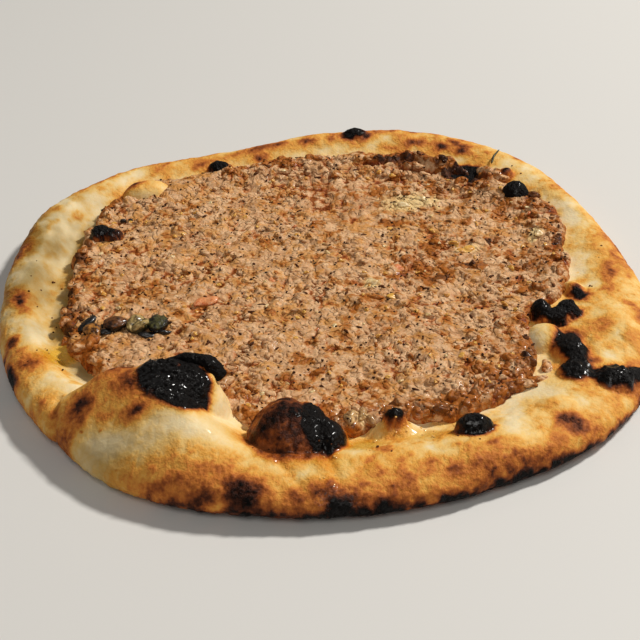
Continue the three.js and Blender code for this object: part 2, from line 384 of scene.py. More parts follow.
crustLook = {  # colours from raw cream to black, tints that multiply them, and sizes in metres; dusty also paints shade
    "baked": [(0.0, (238, 217, 172)), (0.14, (235, 195, 120)), (0.28, (228, 165, 74)), (0.42, (206, 126, 54)),
              (0.56, (154, 82, 36)), (0.7, (82, 40, 22)), (0.84, (10, 6, 5))],
    "dustyShade": (166, 156, 128), "oily": (240, 208, 72),
    "patches": 0.008, "fine": 0.0014, "bubbles": 0.0016, "cracks": 0.0028, "bump": 0.0008,
}


def crustFinish(name):
    # The mark bake picks the baked colour; oil tints it and shines, flour dulls it and paints shade on the
    # left rim and beside the meat, gloss is tar-like char.
    it = Finish(name, {
        "IOR": 1.45, "Specular IOR Level": 0.14, "Coat Roughness": 0.14, "Subsurface Weight": 0.05,
        "Subsurface Scale": 0.003, "Subsurface Radius": (1.0, 0.5, 0.25),
    })
    bake, oil, flour, gloss = (it.mark(mark) for mark in ("bake", "oil", "flour", "gloss"))
    patches = it.grain(crustLook["patches"], 3.0, 0.55)
    fine = it.grain(crustLook["fine"])
    bubbles, cracks = (it.pebbles(crustLook[part]) for part in ("bubbles", "cracks"))
    mottled = (patches - 0.5) * 0.42 + (fine - 0.5) * 0.3 + (0.5 - bubbles) * 0.06
    toast = bake + mottled * (bake * 1.8 + 0.3).held()
    baked = it.ramp(toast, [(share, paint(*colour)) for share, colour in crustLook["baked"]])
    dustedAndShaded = it.mixed(flour, baked, paint(*crustLook["dustyShade"]), "MULTIPLY")
    oiled = it.mixed(oil * 0.9, dustedAndShaded, paint(*crustLook["oily"]), "MULTIPLY")
    charred = toast.stepped(0.66, 0.9)
    roughness = (0.6 - oil * 0.34 + charred * 0.06 - gloss * 0.4 + (fine - 0.5) * 0.3).held()
    coat = (oil * 0.5 + gloss * fine.stepped(0.4, 0.58)).held()
    crisp = toast.stepped(0.08, 0.5)
    rugged = 0.3 + crisp * 0.5 + charred * 1.4 + oil * 0.7 + gloss * 2.4
    blistered = bubbles * (crisp * 0.3 + gloss * 1.2) + cracks * gloss * 2
    height = fine * rugged + patches * 0.8 + blistered
    return it.feed(oiled, roughness, it.bumped(height, crustLook["bump"], 0.9), coat)


meatLook = {  # colours, and sizes in metres; the crease, cleft and dot colours are painted shade
    "darkBeige": (174, 120, 70), "lightBeige": (232, 190, 146), "tan": (208, 142, 58), "toast": (168, 94, 26),
    "onion": (240, 208, 146), "char": (44, 22, 11), "dotAndSeamShade": (100, 53, 16), "creaseShade": (220, 146, 54),
    "cleft": (106, 54, 12),
    "wide": 0.012, "middling": 0.0046, "fine": 0.0011, "granules": 0.0017, "spots": 0.0019, "folds": 0.0034,
    "bump": 0.0008,
}


def meatFinish():
    # One colour field for all the meat, so that loose bits match what they lie on: beige, mottled tan and
    # gold, toasted where brown is high, shiny where wet; tone lightens each bit. Shade is painted into the
    # colour: darker deep in the clefts, dark lines in the bump's creases and dark dots for tiny holes.
    it = Finish("minced_meat", {
        "IOR": 1.45, "Specular IOR Level": 0.2, "Coat Roughness": 0.13, "Subsurface Weight": 0.1,
        "Subsurface Scale": 0.0016, "Subsurface Radius": (1.0, 0.55, 0.3),
    })
    colours = {part: paint(*value) for part, value in meatLook.items() if isinstance(value, tuple)}
    tone, brown, deep, wet, pale = (it.mark(mark) for mark in ("tone", "brown", "deep", "wet", "pale"))
    wide = it.grain(meatLook["wide"])
    middling = it.grain(meatLook["middling"], 4.0)
    fine = it.grain(meatLook["fine"], 3.0, 0.65)
    granules = it.pebbles(meatLook["granules"])
    spotty = it.grain(meatLook["spots"], 2.0, 0.5)
    folds = it.math("ABSOLUTE", it.grain(meatLook["folds"], 1.0, 0.4) - 0.5)
    # painted shade: dark lines in the creases of the bump's folds, in some patches
    seamShade = (1 - folds.stepped(0.004, 0.04)) * (middling + fine * 0.6).stepped(0.68, 0.9)
    beige = it.mixed((tone + (fine - 0.5) * 1.3).held(), colours["darkBeige"], colours["lightBeige"])
    tanned = it.mixed((wide + (middling - 0.5) * 1.4).stepped(0.44, 0.62) * 0.58, beige, colours["tan"])
    toast = (brown + (middling - 0.5) * 2.4 + (wide - 0.5) * 1.8 + (fine - 0.5) * 0.7).stepped(0.38, 0.76)
    golden = it.mixed(toast * 0.92, tanned, colours["toast"])
    softened = it.mixed(pale, golden, colours["onion"])
    # charred where brown passes 1, which also paints the back hollow's shadow black
    charred = it.mixed((brown + (fine - 0.5) * 0.4).stepped(0.9, 1.4) * 0.95, softened, colours["char"])
    # painted shade: dark dots that stand in for the shade of tiny holes
    pitted = (spotty + toast * 0.1).stepped(0.62, 0.74)
    dotted = it.mixed((pitted * 0.62 + seamShade * 0.3).held(), charred, colours["dotAndSeamShade"])
    # painted shade: darker deep in the clefts and down the bits' undersides, darker still at the bottom
    cleft = (deep + (fine - 0.5) * 0.6 + (middling - 0.5) * 0.6).stepped(0.3, 1.1)
    shaded = it.mixed(cleft, dotted, colours["creaseShade"], "MULTIPLY")
    dark = it.mixed(cleft.stepped(0.6, 1.0) * 0.7, shaded, colours["cleft"])
    roughness = (0.58 - wet * 0.12 + (fine - 0.5) * 0.5).held()
    height = fine * 0.45 + middling * 0.9 - granules * 0.2 + folds.stepped(0.0, 0.12) * 0.7
    coat = (0.04 + wet * 0.25).held()
    return it.feed(dark, roughness, it.bumped(height, meatLook["bump"], 0.8), coat)


def plainFinish(name, light, dark, roughness, size, depth, constants=None):
    # Two colours marbled by noise of one size, with a bump of one depth.
    it = Finish(name, {"IOR": 1.45, **(constants or {})})
    marbling = it.grain(size)
    colour = it.mixed(marbling.stepped(0.35, 0.65), paint(*light), paint(*dark))
    return it.feed(colour, (roughness + (marbling - 0.5) * 0.3).held(), it.bumped(marbling, depth))


lobe = {
    "foldX": -60, "foldY": -54, "heading": 204,  # the fold runs from here out to the edge
    "turnX": -55, "turnY": -59, "turned": -15,   # and from here along the lobe's right half
    "rise": 11, "height": 15,
    "fullX": -54, "endX": -20,                   # full height up to here, sunk into the rim there
    "innerRadius": 92,
}

# Swellings of the crust: middle x and y, length, width, heading, height of the foot, height above it, power
# that shapes the top (0.5 is a ball, 1 a rounded cone), and how softly the foot runs into the crust. Each is
# laid over those before it.
swellings = {
    "lobe": (-51, -74.5, 30, 20, 4, 24.6, 4.5, 0.7, 4),
    "frontDome": (-10.5, -89.5, 28, 27, -6, 9.5, 14, 0.5, 1.6),
    "frontDomeRight": (0.5, -93, 17, 18, -20, 9.5, 9, 0.5, 2),
    "frontKnob": (25, -85, 19, 12, 0, 7, 6.2, 0.9, 5),
    "frontTip": (25, -83.5, 8, 7.8, 0, 11.6, 5.6, 0.5, 0.8),
    "frontBean": (51.5, -88.5, 13.5, 9.5, 12, 10.5, 7.2, 0.5, 1.2),
    "frontBump": (81, -77, 15, 12, 0, 10, 4, 0.7, 2),
    "rightRidge": (91.5, -45, 12, 24, 12, 10, 5.4, 0.55, 2.4),
    "rightRidgeFoot": (90.5, -57, 13, 12, 0, 9.5, 5.2, 0.55, 2.4),
    "creamBubble": (83.5, -34, 16, 17, 0, 7, 8, 0.5, 1.4),
    "crescentLeft": (84.5, -19, 10, 8, -50, 10.5, 6, 0.5, 2),
    "crescentMid": (88.7, -23, 12, 8, -6, 10.5, 5.6, 0.5, 2),
    "crescentRight": (93.8, -19.5, 9, 10, 30, 10.5, 6.2, 0.5, 2),
    "rightTip": (99.5, -3, 8, 11, 20, 10, 4, 0.6, 2.4),
    "rightKnob": (103.5, -62, 15, 14, 10, 10, 6.6, 0.5, 2.4),
    "rightEnd": (112, -59, 12, 8, 30, 10, 4.6, 0.6, 2.4),
    "backRight": (86, 68, 14, 11, -20, 12, 8.6, 0.5, 1.2),
    "backRightSmall": (83.5, 84, 7, 6, 0, 15, 4.2, 0.5, 1.5),
    "back": (18, 118.5, 15, 9, 0, 17, 6, 0.6, 1.6),
    "backLeft": (-44, 97, 11.5, 9, 0, 12, 5.6, 0.5, 1.2),
    "leftBubble": (-76, 79, 22, 13, 18, 11, 6.5, 0.5, 2.4),
    "leftKnobA": (-91, 42, 9, 7, 20, 13.5, 2.6, 0.5, 1.2),
    "leftKnobB": (-85, 41, 8.5, 6.5, -15, 13.5, 2.4, 0.5, 1.2),
    "frontSwell": (60, -100, 62, 24, 8, 8, 6.5, 1, 4),
    "rightSwell": (112, -30, 24, 42, 0, 8, 6.5, 1, 4),
    "lobeCollar": (-40, -76.5, 15, 16, -10, 16, 6.2, 0.5, 2),
}

# Scorched places on each part of the crust: middle x and y, length, width, heading, darkness, width of the
# halo, tar-like gloss, and depth of the folds that the char has drawn up into. Where they overlap the
# strongest counts.
scorches = {
    "lobe": [(-53.8, -77, 14.2, 19, 12, 1, 3, 1.1, 1.3), (-43.5, -79, 15, 17, -4, 1, 1.6, 0.4, 1.3),
             (-82.5, -80, 18, 13, 28, 0.78, 5, 0, 0.1), (-61, -90, 10, 7.5, 0, 0.8, 3.4, 0.1, 0.2),
             (-68, -69, 18, 9, 20, 0.8, 4, 0, 0.2), (-47, -84, 16, 15, -8, 1, 1.6, 0.1, 0.9),
             (-46, -70, 18, 7, -10, 1, 1.2, 0.3, 0.4), (-47, -113, 34, 13, -8, 0.62, 7, 0, 0.2),
             (-56.5, -77.5, 8, 14, 12, 1, 2, 1.6, 0.8)],
    "dome": [(-11, -92.8, 31, 27, -6, 0.88, 2.2, 0.05, 0.8), (0.5, -93.5, 15, 18, -20, 1, 2, 0.05, 0.4),
             (-1, -90, 10, 19, 24, 0.96, 2.6, 0.05, 0.5), (-12, -83, 14, 8, 0, 0.86, 3, 0.1, 0.3)],
    "front": [(25, -83.4, 8, 8, 0, 1, 1.2, 0.3, 0.2), (51.5, -89, 12.6, 9.6, 12, 0.95, 2, 0.7, 0.4),
              (97, -92, 14, 7, 38, 0.86, 4, 0, 0.3), (42, -108, 6, 5.5, 0, 0.8, 3.2, 0, 0.2),
              (52, -117, 20, 5, 4, 0.86, 4, 0, 0.4), (84, -85.5, 11.5, 8, 0, 0.88, 4, 0, 0.2)],
    "wall": [(-38.5, -117.5, 12, 9, 6, 0.83, 3.5, 0, 0.4), (-24.5, -118.5, 17, 14, -10, 0.82, 3.5, 0, 0.5),
             (4, -121, 13, 11, 40, 0.84, 3.5, 0.15, 0.5), (-50, -116.5, 11, 6, 0, 0.62, 4, 0, 0.3),
             (-8, -121, 14, 8, -30, 0.5, 4, 0, 0.2), (20, -121, 20, 6, 4, 0.78, 4, 0, 0.4),
             (-22, -124, 34, 6, -4, 0.76, 4, 0, 0.4), (-28, -115, 52, 16, 0, 0.3, 8, 0, 0.2)],
    "right": [(91.5, -43, 11, 22, 12, 1, 2.6, 0.1, 1.3), (91, -56.5, 12, 12, 20, 1, 2.4, 0.4, 1.3),
              (100.5, -7.5, 7, 9, 25, 0.96, 2.4, 0, 0.4), (103.5, -62, 15, 13, 10, 1, 2.6, 0.45, 1.4),
              (97, -60, 9, 7, -20, 0.97, 2.6, 0.5, 0.8), (111, -59, 12, 6, 30, 1, 4, 0.05, 0.8),
              (116, -62, 6, 7, 0, 0.9, 4, 0.1, 0.6), (110, -77, 9, 6, 50, 0.86, 4, 0, 0.3),
              (84.5, -19.5, 11, 9, -50, 1, 2, 0.3, 0.7), (88.7, -23, 12, 9, -6, 1, 2, 0.1, 0.7),
              (93.8, -20, 10, 11, 30, 1, 2.4, 0.2, 0.9)],
    "back": [(86, 67, 13.5, 11, -20, 0.98, 1.6, 0.25, 0.3), (18, 117.5, 12, 6, 0, 0.97, 2.2, 0.05, 0.3),
             (-44, 96, 11, 8, 0, 0.93, 2.2, 0.1, 0.3), (-18, 112, 12, 6, 0, 0.8, 3, 0, 0.2),
             (66.5, 88, 22, 15, -40, 1, 1.6, 0, 0.3)],
    "left": [(-81, 78.5, 20, 11, 22, 0.8, 3.4, 0, 0.3), (-91, 41.5, 10, 8, 20, 0.93, 1.6, 0.6, 0.8),
             (-85, 40.5, 10, 7.5, -15, 0.9, 1.6, 0.6, 0.8), (-115, -7.5, 10, 15, 30, 0.76, 4.5, 0, 0.2),
             (-114, -33, 6, 9, 20, 0.84, 3.5, 0, 0.2), (-117, -39, 6, 6, 20, 0.84, 3.5, 0, 0.1),
             (-112, -51, 5, 11, 20, 0.97, 4, 0.05, 0.3), (-122, 28, 18, 8, 68, 0.78, 5, 0, 0.1)],
}

# Browned places: the same without gloss and folds.
browned = {
    "lobe": [(-64, -74, 14, 12, 10, 0.6, 8), (-87, -85, 7, 14, 10, 0.7, 7), (-36, -110, 24, 8, 0, 0.5, 7),
             (-84, -88, 12, 5, 60, 0.66, 4), (-77, -73, 14, 5, 24, 0.6, 4), (-90, -76, 8, 4, 50, 0.7, 4),
             (-72, -88, 7, 5, 0, 0.5, 4), (-63, -79, 8, 12, 12, 0.74, 5), (-58, -82, 20, 9, 8, 0.5, 6)],
    "front": [(44, -99, 4, 3, 0, 0.62, 4.5), (34, -107, 14, 6, 5, 0.4, 6), (66, -104, 18, 5, 12, 0.42, 6),
              (79, -77.5, 10, 6, 10, 0.5, 5), (92, -95, 18, 8, 30, 0.42, 7)],
    "wall": [(-32, -106, 26, 8, 0, 0.36, 6)],
    "right": [(103, 3, 9, 5, 30, 0.6, 4), (95, -15, 7, 7, 0, 0.5, 5), (106, -32, 18, 10, 60, 0.42, 6),
              (114, 6, 10, 26, 0, 0.36, 6)],
    "back": [(83.5, 83.5, 8, 6.5, 0, 0.84, 2.5), (-5, 113, 10, 6, 10, 0.78, 3), (6, 114.5, 5, 4, 8, 0.7, 3),
             (48, 120, 26, 3, -6, 0.66, 3), (76, 115, 24, 3, -24, 0.7, 3), (34, 110, 12, 5, -10, 0.5, 4),
             (-30, 109, 14, 6, 20, 0.74, 3), (46, 111.5, 16, 5, -8, 0.84, 3), (57, 108, 10, 6, -20, 0.8, 3),
             (66, 107, 12, 5, -30, 0.74, 3), (77, 100, 10, 4, -40, 0.6, 3), (93, 96, 9, 3, -30, 0.7, 3),
             (-7, 112.5, 10, 5, 0, 0.72, 3), (-38, 106, 12, 5, 24, 0.62, 4), (66, 103, 16, 5, -30, 0.7, 3),
             (-52, 101, 14, 4, 26, 0.6, 4), (-26, 104, 8, 5, 10, 0.7, 3), (40, 106, 9, 5, -10, 0.66, 3),
             (98, 100, 14, 3, -45, 0.6, 3)],
    "left": [(-95, 89, 28, 7, 38, 0.56, 6), (-85, 97, 22, 5, 34, 0.45, 5), (-103, 58, 4, 4, 0, 0.6, 4),
             (-106, -48, 17, 19, 20, 0.74, 5), (-96, -70, 16, 12, 50, 0.4, 7), (-112, 59, 5, 5, 0, 0.45, 5),
             (-79, 80.5, 14, 6, 22, 0.72, 3)],
}

# Places the fire missed: middle x and y, length, width, heading, share of the bake taken away.
unbaked = {
    "lobeFront": (-40, -97, 42, 17, -14, 1),
    "lobeLeft": (-70, -97.5, 42, 20, -22, 1),
    "lobeFoot": (-24, -99, 22, 8, -14, 0.7),
    "trough": (10, -97, 12, 8, 0, 0.5),
    "frontShelf": (58, -94, 46, 7, 10, 0.6),
    "backDrip": (26, 112, 12, 8, 10, 0.8),
    "backDripLeft": (10, 110, 8, 8, 10, 0.6),
    "leftFold": (-96, -62, 16, 10, 40, 0.7),
    "backRim": (60, 118, 40, 8, -16, 0.5),
    "leftPool": (-97, -38, 28, 18, 60, 0.85),
    "frontRightPatch": (78, -67, 18, 14, -30, 0.8),
    "collar": (-31, -80, 8, 18, 0, 0.8),
    "rightCream": (96, -2, 9, 12, 0, 0.9),
}

# Oiled places: middle x and y, length, width, heading, strength.
oiled = {
    "leftPool": (-95, -36, 24, 15, 60, 1),
    "channel": (2, -105, 10, 22, 0, 0.6),
    "domeFoot": (-2, -105.5, 34, 7, -5, 0.7),
    "domeRight": (13, -94, 16, 12, 0, 0.9),
    "frontPocket": (36, -90, 22, 9, 0, 0.7),
    "rightPatch": (96, 28, 14, 26, 0, 0.3),
    "leftOfDome": (-31, -93, 22, 9, 0, 0.35),
    "backRight": (86, 76, 12, 12, 0, 0.5),
    "leftRim": (-104, 10, 16, 40, -8, 0.2),
}

# Dulled places, where flour and ash lie on the crust and where painted shade darkens the left rim and the
# lobe's left side: middle x and y, length, width, heading, strength.
dustAndShadePlaces = {
    "leftBack": (-113, 40, 56, 30, 70, 1.3),
    "left": (-113, 6, 44, 26, 90, 1.1),
    "leftLow": (-108, -24, 24, 16, 70, 0.5),
    "leftTop": (-100, 70, 30, 16, 50, 0.6),
    "lobeWall": (-72, -99, 34, 15, -24, 0.5),
    "lobeSide": (-92, -86, 24, 14, -50, 0.5),
}

# How far the rim is baked, 0 cream to 1 black, in equal steps round it from +X.
crestBake = [0.25, 0.24, 0.21, 0.22, 0.34, 0.3, 0.2, 0.12, 0.1, 0.09, 0.18, 0.09, 0.1, 0.14, 0.17, 0.2]
wallBake = [0.34, 0.31, 0.28, 0.32, 0.42, 0.38, 0.28, 0.2, 0.18, 0.2, 0.25, 0.29, 0.35, 0.37, 0.38, 0.37]
lowerBake = [0.42, 0.4, 0.36, 0.4, 0.5, 0.45, 0.4, 0.3, 0.3, 0.34, 0.4, 0.46, 0.86, 0.92, 0.84, 0.6]


def rimAt(angle):
    # Radii of the edge, the topping, the inner slope's foot and its crest, and heights of crest and foot.
    edge, topping = around(baking["edgeRadii"], angle), around(baking["toppingRadii"], angle)
    foot = topping - baking["footOverlap"]
    return {
        "edge": edge, "topping": topping, "foot": foot,
        "crest": blend(edge, foot, around(baking["crestShares"], angle)),
        "high": around(baking["rimHeights"], angle),
        "low": around(baking["footHeights"], angle),
        "trough": around(baking["troughShares"], angle),
    }


def lobeLift(x, y, radius, edge):
    # A step past the fold's two lines, times a fall along the rim, times a fall to the edge.
    cosine, sine = direction(lobe["heading"])
    pastFold = (y - lobe["foldY"]) * cosine - (x - lobe["foldX"]) * sine
    cosine, sine = direction(lobe["turned"])
    pastTurn = (x - lobe["turnX"]) * sine - (y - lobe["turnY"]) * cosine
    step = eased(np.minimum(pastFold, pastTurn), 0, lobe["rise"])
    along = 1 - eased(x, lobe["fullX"], lobe["endX"])
    outward = np.clip((edge - radius) / (edge - lobe["innerRadius"]), 0, 1)
    return lobe["height"] * step * along * outward * outward * (3 - 2 * outward)


def ellipseReach(x, y, spot):  # distance from an ellipse's middle, 1 on its edge
    middleX, middleY, length, width, heading = spot[:5]
    cosine, sine = direction(heading)
    along = (x - middleX) * cosine + (y - middleY) * sine
    across = (y - middleY) * cosine - (x - middleX) * sine
    return np.sqrt((along / (length / 2)) ** 2 + (across / (width / 2)) ** 2)


def swollen(x, y, z):
    # Each swelling is a foot height plus a height times (1 - reach squared) to its power, and falls away
    # steeply outside. The crust takes the higher of it and itself, rounded where the two cross.
    bent = plane(x, y)
    x, y = x + 0.9 * rough(bent, 7, 13), y + 0.9 * rough(bent, 7, 14)
    for spot in swellings.values():
        foot, height, power, soft = spot[5:]
        reach = ellipseReach(x, y, spot)
        fall = 2 * min(spot[2:4]) * np.clip(reach - 1, 0, 1)
        ball = foot + height * np.clip(1 - reach ** 2, 0, 1) ** power - fall
        close = np.clip(1 - np.abs(ball - z) / soft, 0, 1)
        z = np.maximum(z, ball) + close ** 2 * soft / 4
    return z


def slopeHeight(rim, radius):  # a half cosine from the crest down to a level trough, as high as the foot
    t = (rim["crest"] - radius) / (rim["crest"] - rim["foot"]) / (1 - rim["trough"])
    return rim["low"] + (rim["high"] - rim["low"]) * (1 + np.cos(np.pi * np.clip(t, 0, 1))) / 2


def breadTop(x, y):  # height of the crust inside its crest
    angle, radius = polar(x, y)
    rim = rimAt(angle)
    return swollen(x, y, slopeHeight(rim, radius) + lobeLift(x, y, radius, rim["edge"]))


def breadSurface(angle):
    # The section, row by row: flat underside, quarter ellipse out to the widest line, a squarer one up to
    # the crest, half cosine in to the foot, and the floor. Rows are rings of one point for each angle.
    rim = rimAt(angle)
    edge, height, foot, crest = (rim[name] for name in ("edge", "high", "foot", "crest"))
    widest = height * baking["widestShare"]
    undercut, power, floorShare = (baking[name] for name in ("undercut", "shoulderPower", "floorShare"))
    under = np.array([0.4, 0.75, 0.92])[:, None]
    low = np.radians(np.linspace(0, 90, 9))[:, None]
    high = np.radians(np.linspace(0, 90, 31)[1:])[:, None]
    inner = np.linspace(0, 1, 31)[1:, None]
    floor = np.concatenate([np.linspace(1, floorShare, 24)[1:], [0.6, 0.3]])[:, None]
    radius = np.concatenate([
        (edge - undercut) * under,
        edge - undercut * (1 - np.sin(low)),
        blend(crest, edge, np.cos(high) ** power),
        blend(crest, foot, inner),
        foot * floor,
    ])
    z = np.concatenate([
        0 * edge * under,
        widest * (1 - np.cos(low)),
        blend(widest, height, np.sin(high) ** power),
        slopeHeight(rim, blend(crest, foot, inner)),
        blend(baking["floorThickness"], rim["low"], eased(floor, floorShare, 1)),
    ])
    cosine, sine = direction(angle)
    points = np.stack([radius * cosine, radius * sine, z], -1)
    shoulder = len(under) + len(low)
    lifted = points[shoulder:]
    lifted[..., 2] += lobeLift(lifted[..., 0], lifted[..., 1], radius[shoulder:], edge)
    share = np.clip(np.arange(len(lifted)) / len(high), 0, 1)[:, None]  # 0 on the widest line, 1 on the crest
    grown = swollen(lifted[..., 0], lifted[..., 1], lifted[..., 2])
    lifted[..., 2] = blend(lifted[..., 2], grown, eased(share, 0.1, 0.8))
    return points


def outward(points):  # unit normals of rings of points, from the steps along and across the rings
    along = np.roll(points, -1, 1) - np.roll(points, 1, 1)
    across = np.gradient(points, axis=0)
    normal = np.cross(along, across)
    return normal / np.maximum(np.linalg.norm(normal, axis=-1, keepdims=True), 1e-9)


def ellipseGap(x, y, spot, ragged):  # distance outside an ellipse, about in millimetres, negative inside
    return (ellipseReach(x, y, spot) - 1) * min(spot[2:4]) / 2 + ragged


def strongest(x, y, spots, fading):  # the most of any spot's strength times how it fades with its reach
    return np.max([spot[5] * fading(ellipseReach(x, y, spot)) for spot in spots.values()], axis=0)


def lineGap(x, y, start, end):  # distance from a straight stretch, and the share of the way along it
    run = np.subtract(end, start)
    share = np.clip(((x - start[0]) * run[0] + (y - start[1]) * run[1]) / (run @ run), 0, 1)
    return np.hypot(x - start[0] - share * run[0], y - start[1] - share * run[1]), share


# Creases pressed into the crust: start, end, depth, half width.
creases = {
    "fold": ((-66, -58), (-91, -71), 1.6, 1.6),
    "foldTurn": ((-91, -71), (-91, -84), 1.4, 1.6),
    "foldEnd": ((-91, -84), (-85, -92), 1.0, 1.6),
    "channel": ((1, -99), (6, -119), 1.6, 1.5),
    "channelLeft": ((-14, -106), (-3, -122), 0.9, 1.4),
    "channelRight": ((17, -103), (9, -115), 0.6, 1.6),
    "ridgeFoot": ((97, -36), (99, -52), 0.8, 1.5),
    "domeDent": ((-8, -79), (2, -102), 1.3, 1.8),
}


def scorchAt(points, ragged):
    # Darkness, gloss and depth of folds. A black place has a hard core and a halo; a light one fades evenly
    # from its middle, and is mottled. Edges are ragged.
    x, y = points[..., 0], points[..., 1]
    mottle = 0.5 * rough(points, 3.5, 17) + 0.4 * rough(points, 8, 18) - 0.35
    scorch, gloss, folded = np.zeros((3, *x.shape))
    dark, light = (sum(spots.values(), []) for spots in (scorches, browned))
    for spot in dark + [(*spot, 0, 0) for spot in light]:
        darkness, halo, shine, folds = spot[5:]
        gap = ellipseGap(x, y, spot, ragged)
        core = 1 - eased(gap, -1.6, 1.4)
        ring = np.exp(-np.clip(gap + 1.2, 0, None) / halo)
        soft = np.exp(-1.3 * np.clip(1 + gap / (0.5 * halo + min(spot[2:4]) / 2), 0, None) ** 2)
        hard = eased(darkness, 0.8, 0.96)
        share = blend(soft, 0.38 * core + 0.62 * ring, hard)
        scorch = np.maximum(scorch, darkness * share * (1 + (0.3 + mottle) * (1 - hard)))
        gloss = np.maximum(gloss, shine * core)
        folded = np.maximum(folded, folds * core)
    return scorch, gloss, folded


def oilAt(x, y, ragged):
    pools = [spot[5] * (1 - eased(ellipseGap(x, y, spot, ragged), -3, 2.5)) for spot in oiled.values()]
    return np.max(pools, axis=0)


crustRough = {  # sizes and heights of the crust's relief, in millimetres
    "size": {"swelling": 26, "dimple": 9, "pimple": 4.2, "wrinkle": 2.6, "leather": 1.9, "crackle": 2.3,
             "fold": 5.2},
    "height": {"swelling": 0.9, "dimple": 0.45, "pimple": 0.45, "wrinkle": 0.24, "leather": 0.12,
               "crackle": 0.22, "fold": 1.3},
}


def crustRelief(points, ragged, wall, scorch, folded):
    # Slow swelling, small blisters, wrinkles on the outer wall, crackle and drawn-up folds in the char, and
    # the creases pressed in. Gives the height, the small blisters and how deep in a crease a place is, which
    # the crust's colour takes as painted shade.
    size, high = crustRough["size"], crustRough["height"]
    swelling = rough(points, size["swelling"], 1) * high["swelling"]
    swelling += rough(points, size["dimple"], 2) * high["dimple"]
    pimples = np.clip(1 - cells(points, size["pimple"], 3)[0] * 1.5, 0, 1)
    pimples *= eased(rough(points, 14, 4), -0.1, 0.4)
    wrinkles = (1 - np.abs(noise(points * [1, 1, 0.45], size["wrinkle"], 5))) ** 2 - 0.4
    leather = (1 - np.abs(noise(points * [0.6, 1, 1], size["leather"], 19))) ** 2 - 0.4
    leather += 0.5 * rough(points, 1.7, 20)
    nearest, second, _ = cells(points, size["crackle"], 6)
    crackle = eased(second - nearest, 0.0, 0.35) + 0.6 * rough(points, 1.8, 7)
    drawnUp = (1 - np.abs(noise(points + 1.5 * crackle[..., None], size["fold"], 16))) ** 2 - 0.45
    onWall = (high["wrinkle"] * wrinkles + high["leather"] * leather) * (0.08 + 0.92 * wall)
    relief = swelling + high["pimple"] * pimples + onWall + high["fold"] * folded * drawnUp
    relief += high["crackle"] * (crackle - 0.6) * eased(scorch, 0.75, 0.95) * (1 + folded)
    creaseShade = np.zeros_like(relief)
    for start, end, depth, spread in creases.values():
        gap, share = lineGap(points[..., 0] + ragged * 0.3, points[..., 1], start, end)
        mark = np.exp(-(gap / spread) ** 2) * np.sqrt(1.02 - share)
        creaseShade = np.maximum(creaseShade, mark)
        relief -= depth * mark
    return relief, pimples, creaseShade


def dustAndShadeAt(x, y, patches, blotches, fromMeat):  # flour, ash and painted shade in patches, and painted shadow beside the meat
    flour = strongest(x, y, dustAndShadePlaces, lambda reach: np.exp(-1.2 * reach ** 2))
    flour *= np.clip(1 + 0.8 * patches + 0.7 * blotches, 0, 1.3)
    # painted shadow: the meat's left edge shading the dough beside it
    meatEdgeShadow = (1 - eased(fromMeat, 0, 9)) * eased(-x, -20, 70) * eased(y, -75, -45) * eased(-y, -75, -50)
    return np.clip(np.maximum(flour, meatEdgeShadow), 0, 1)


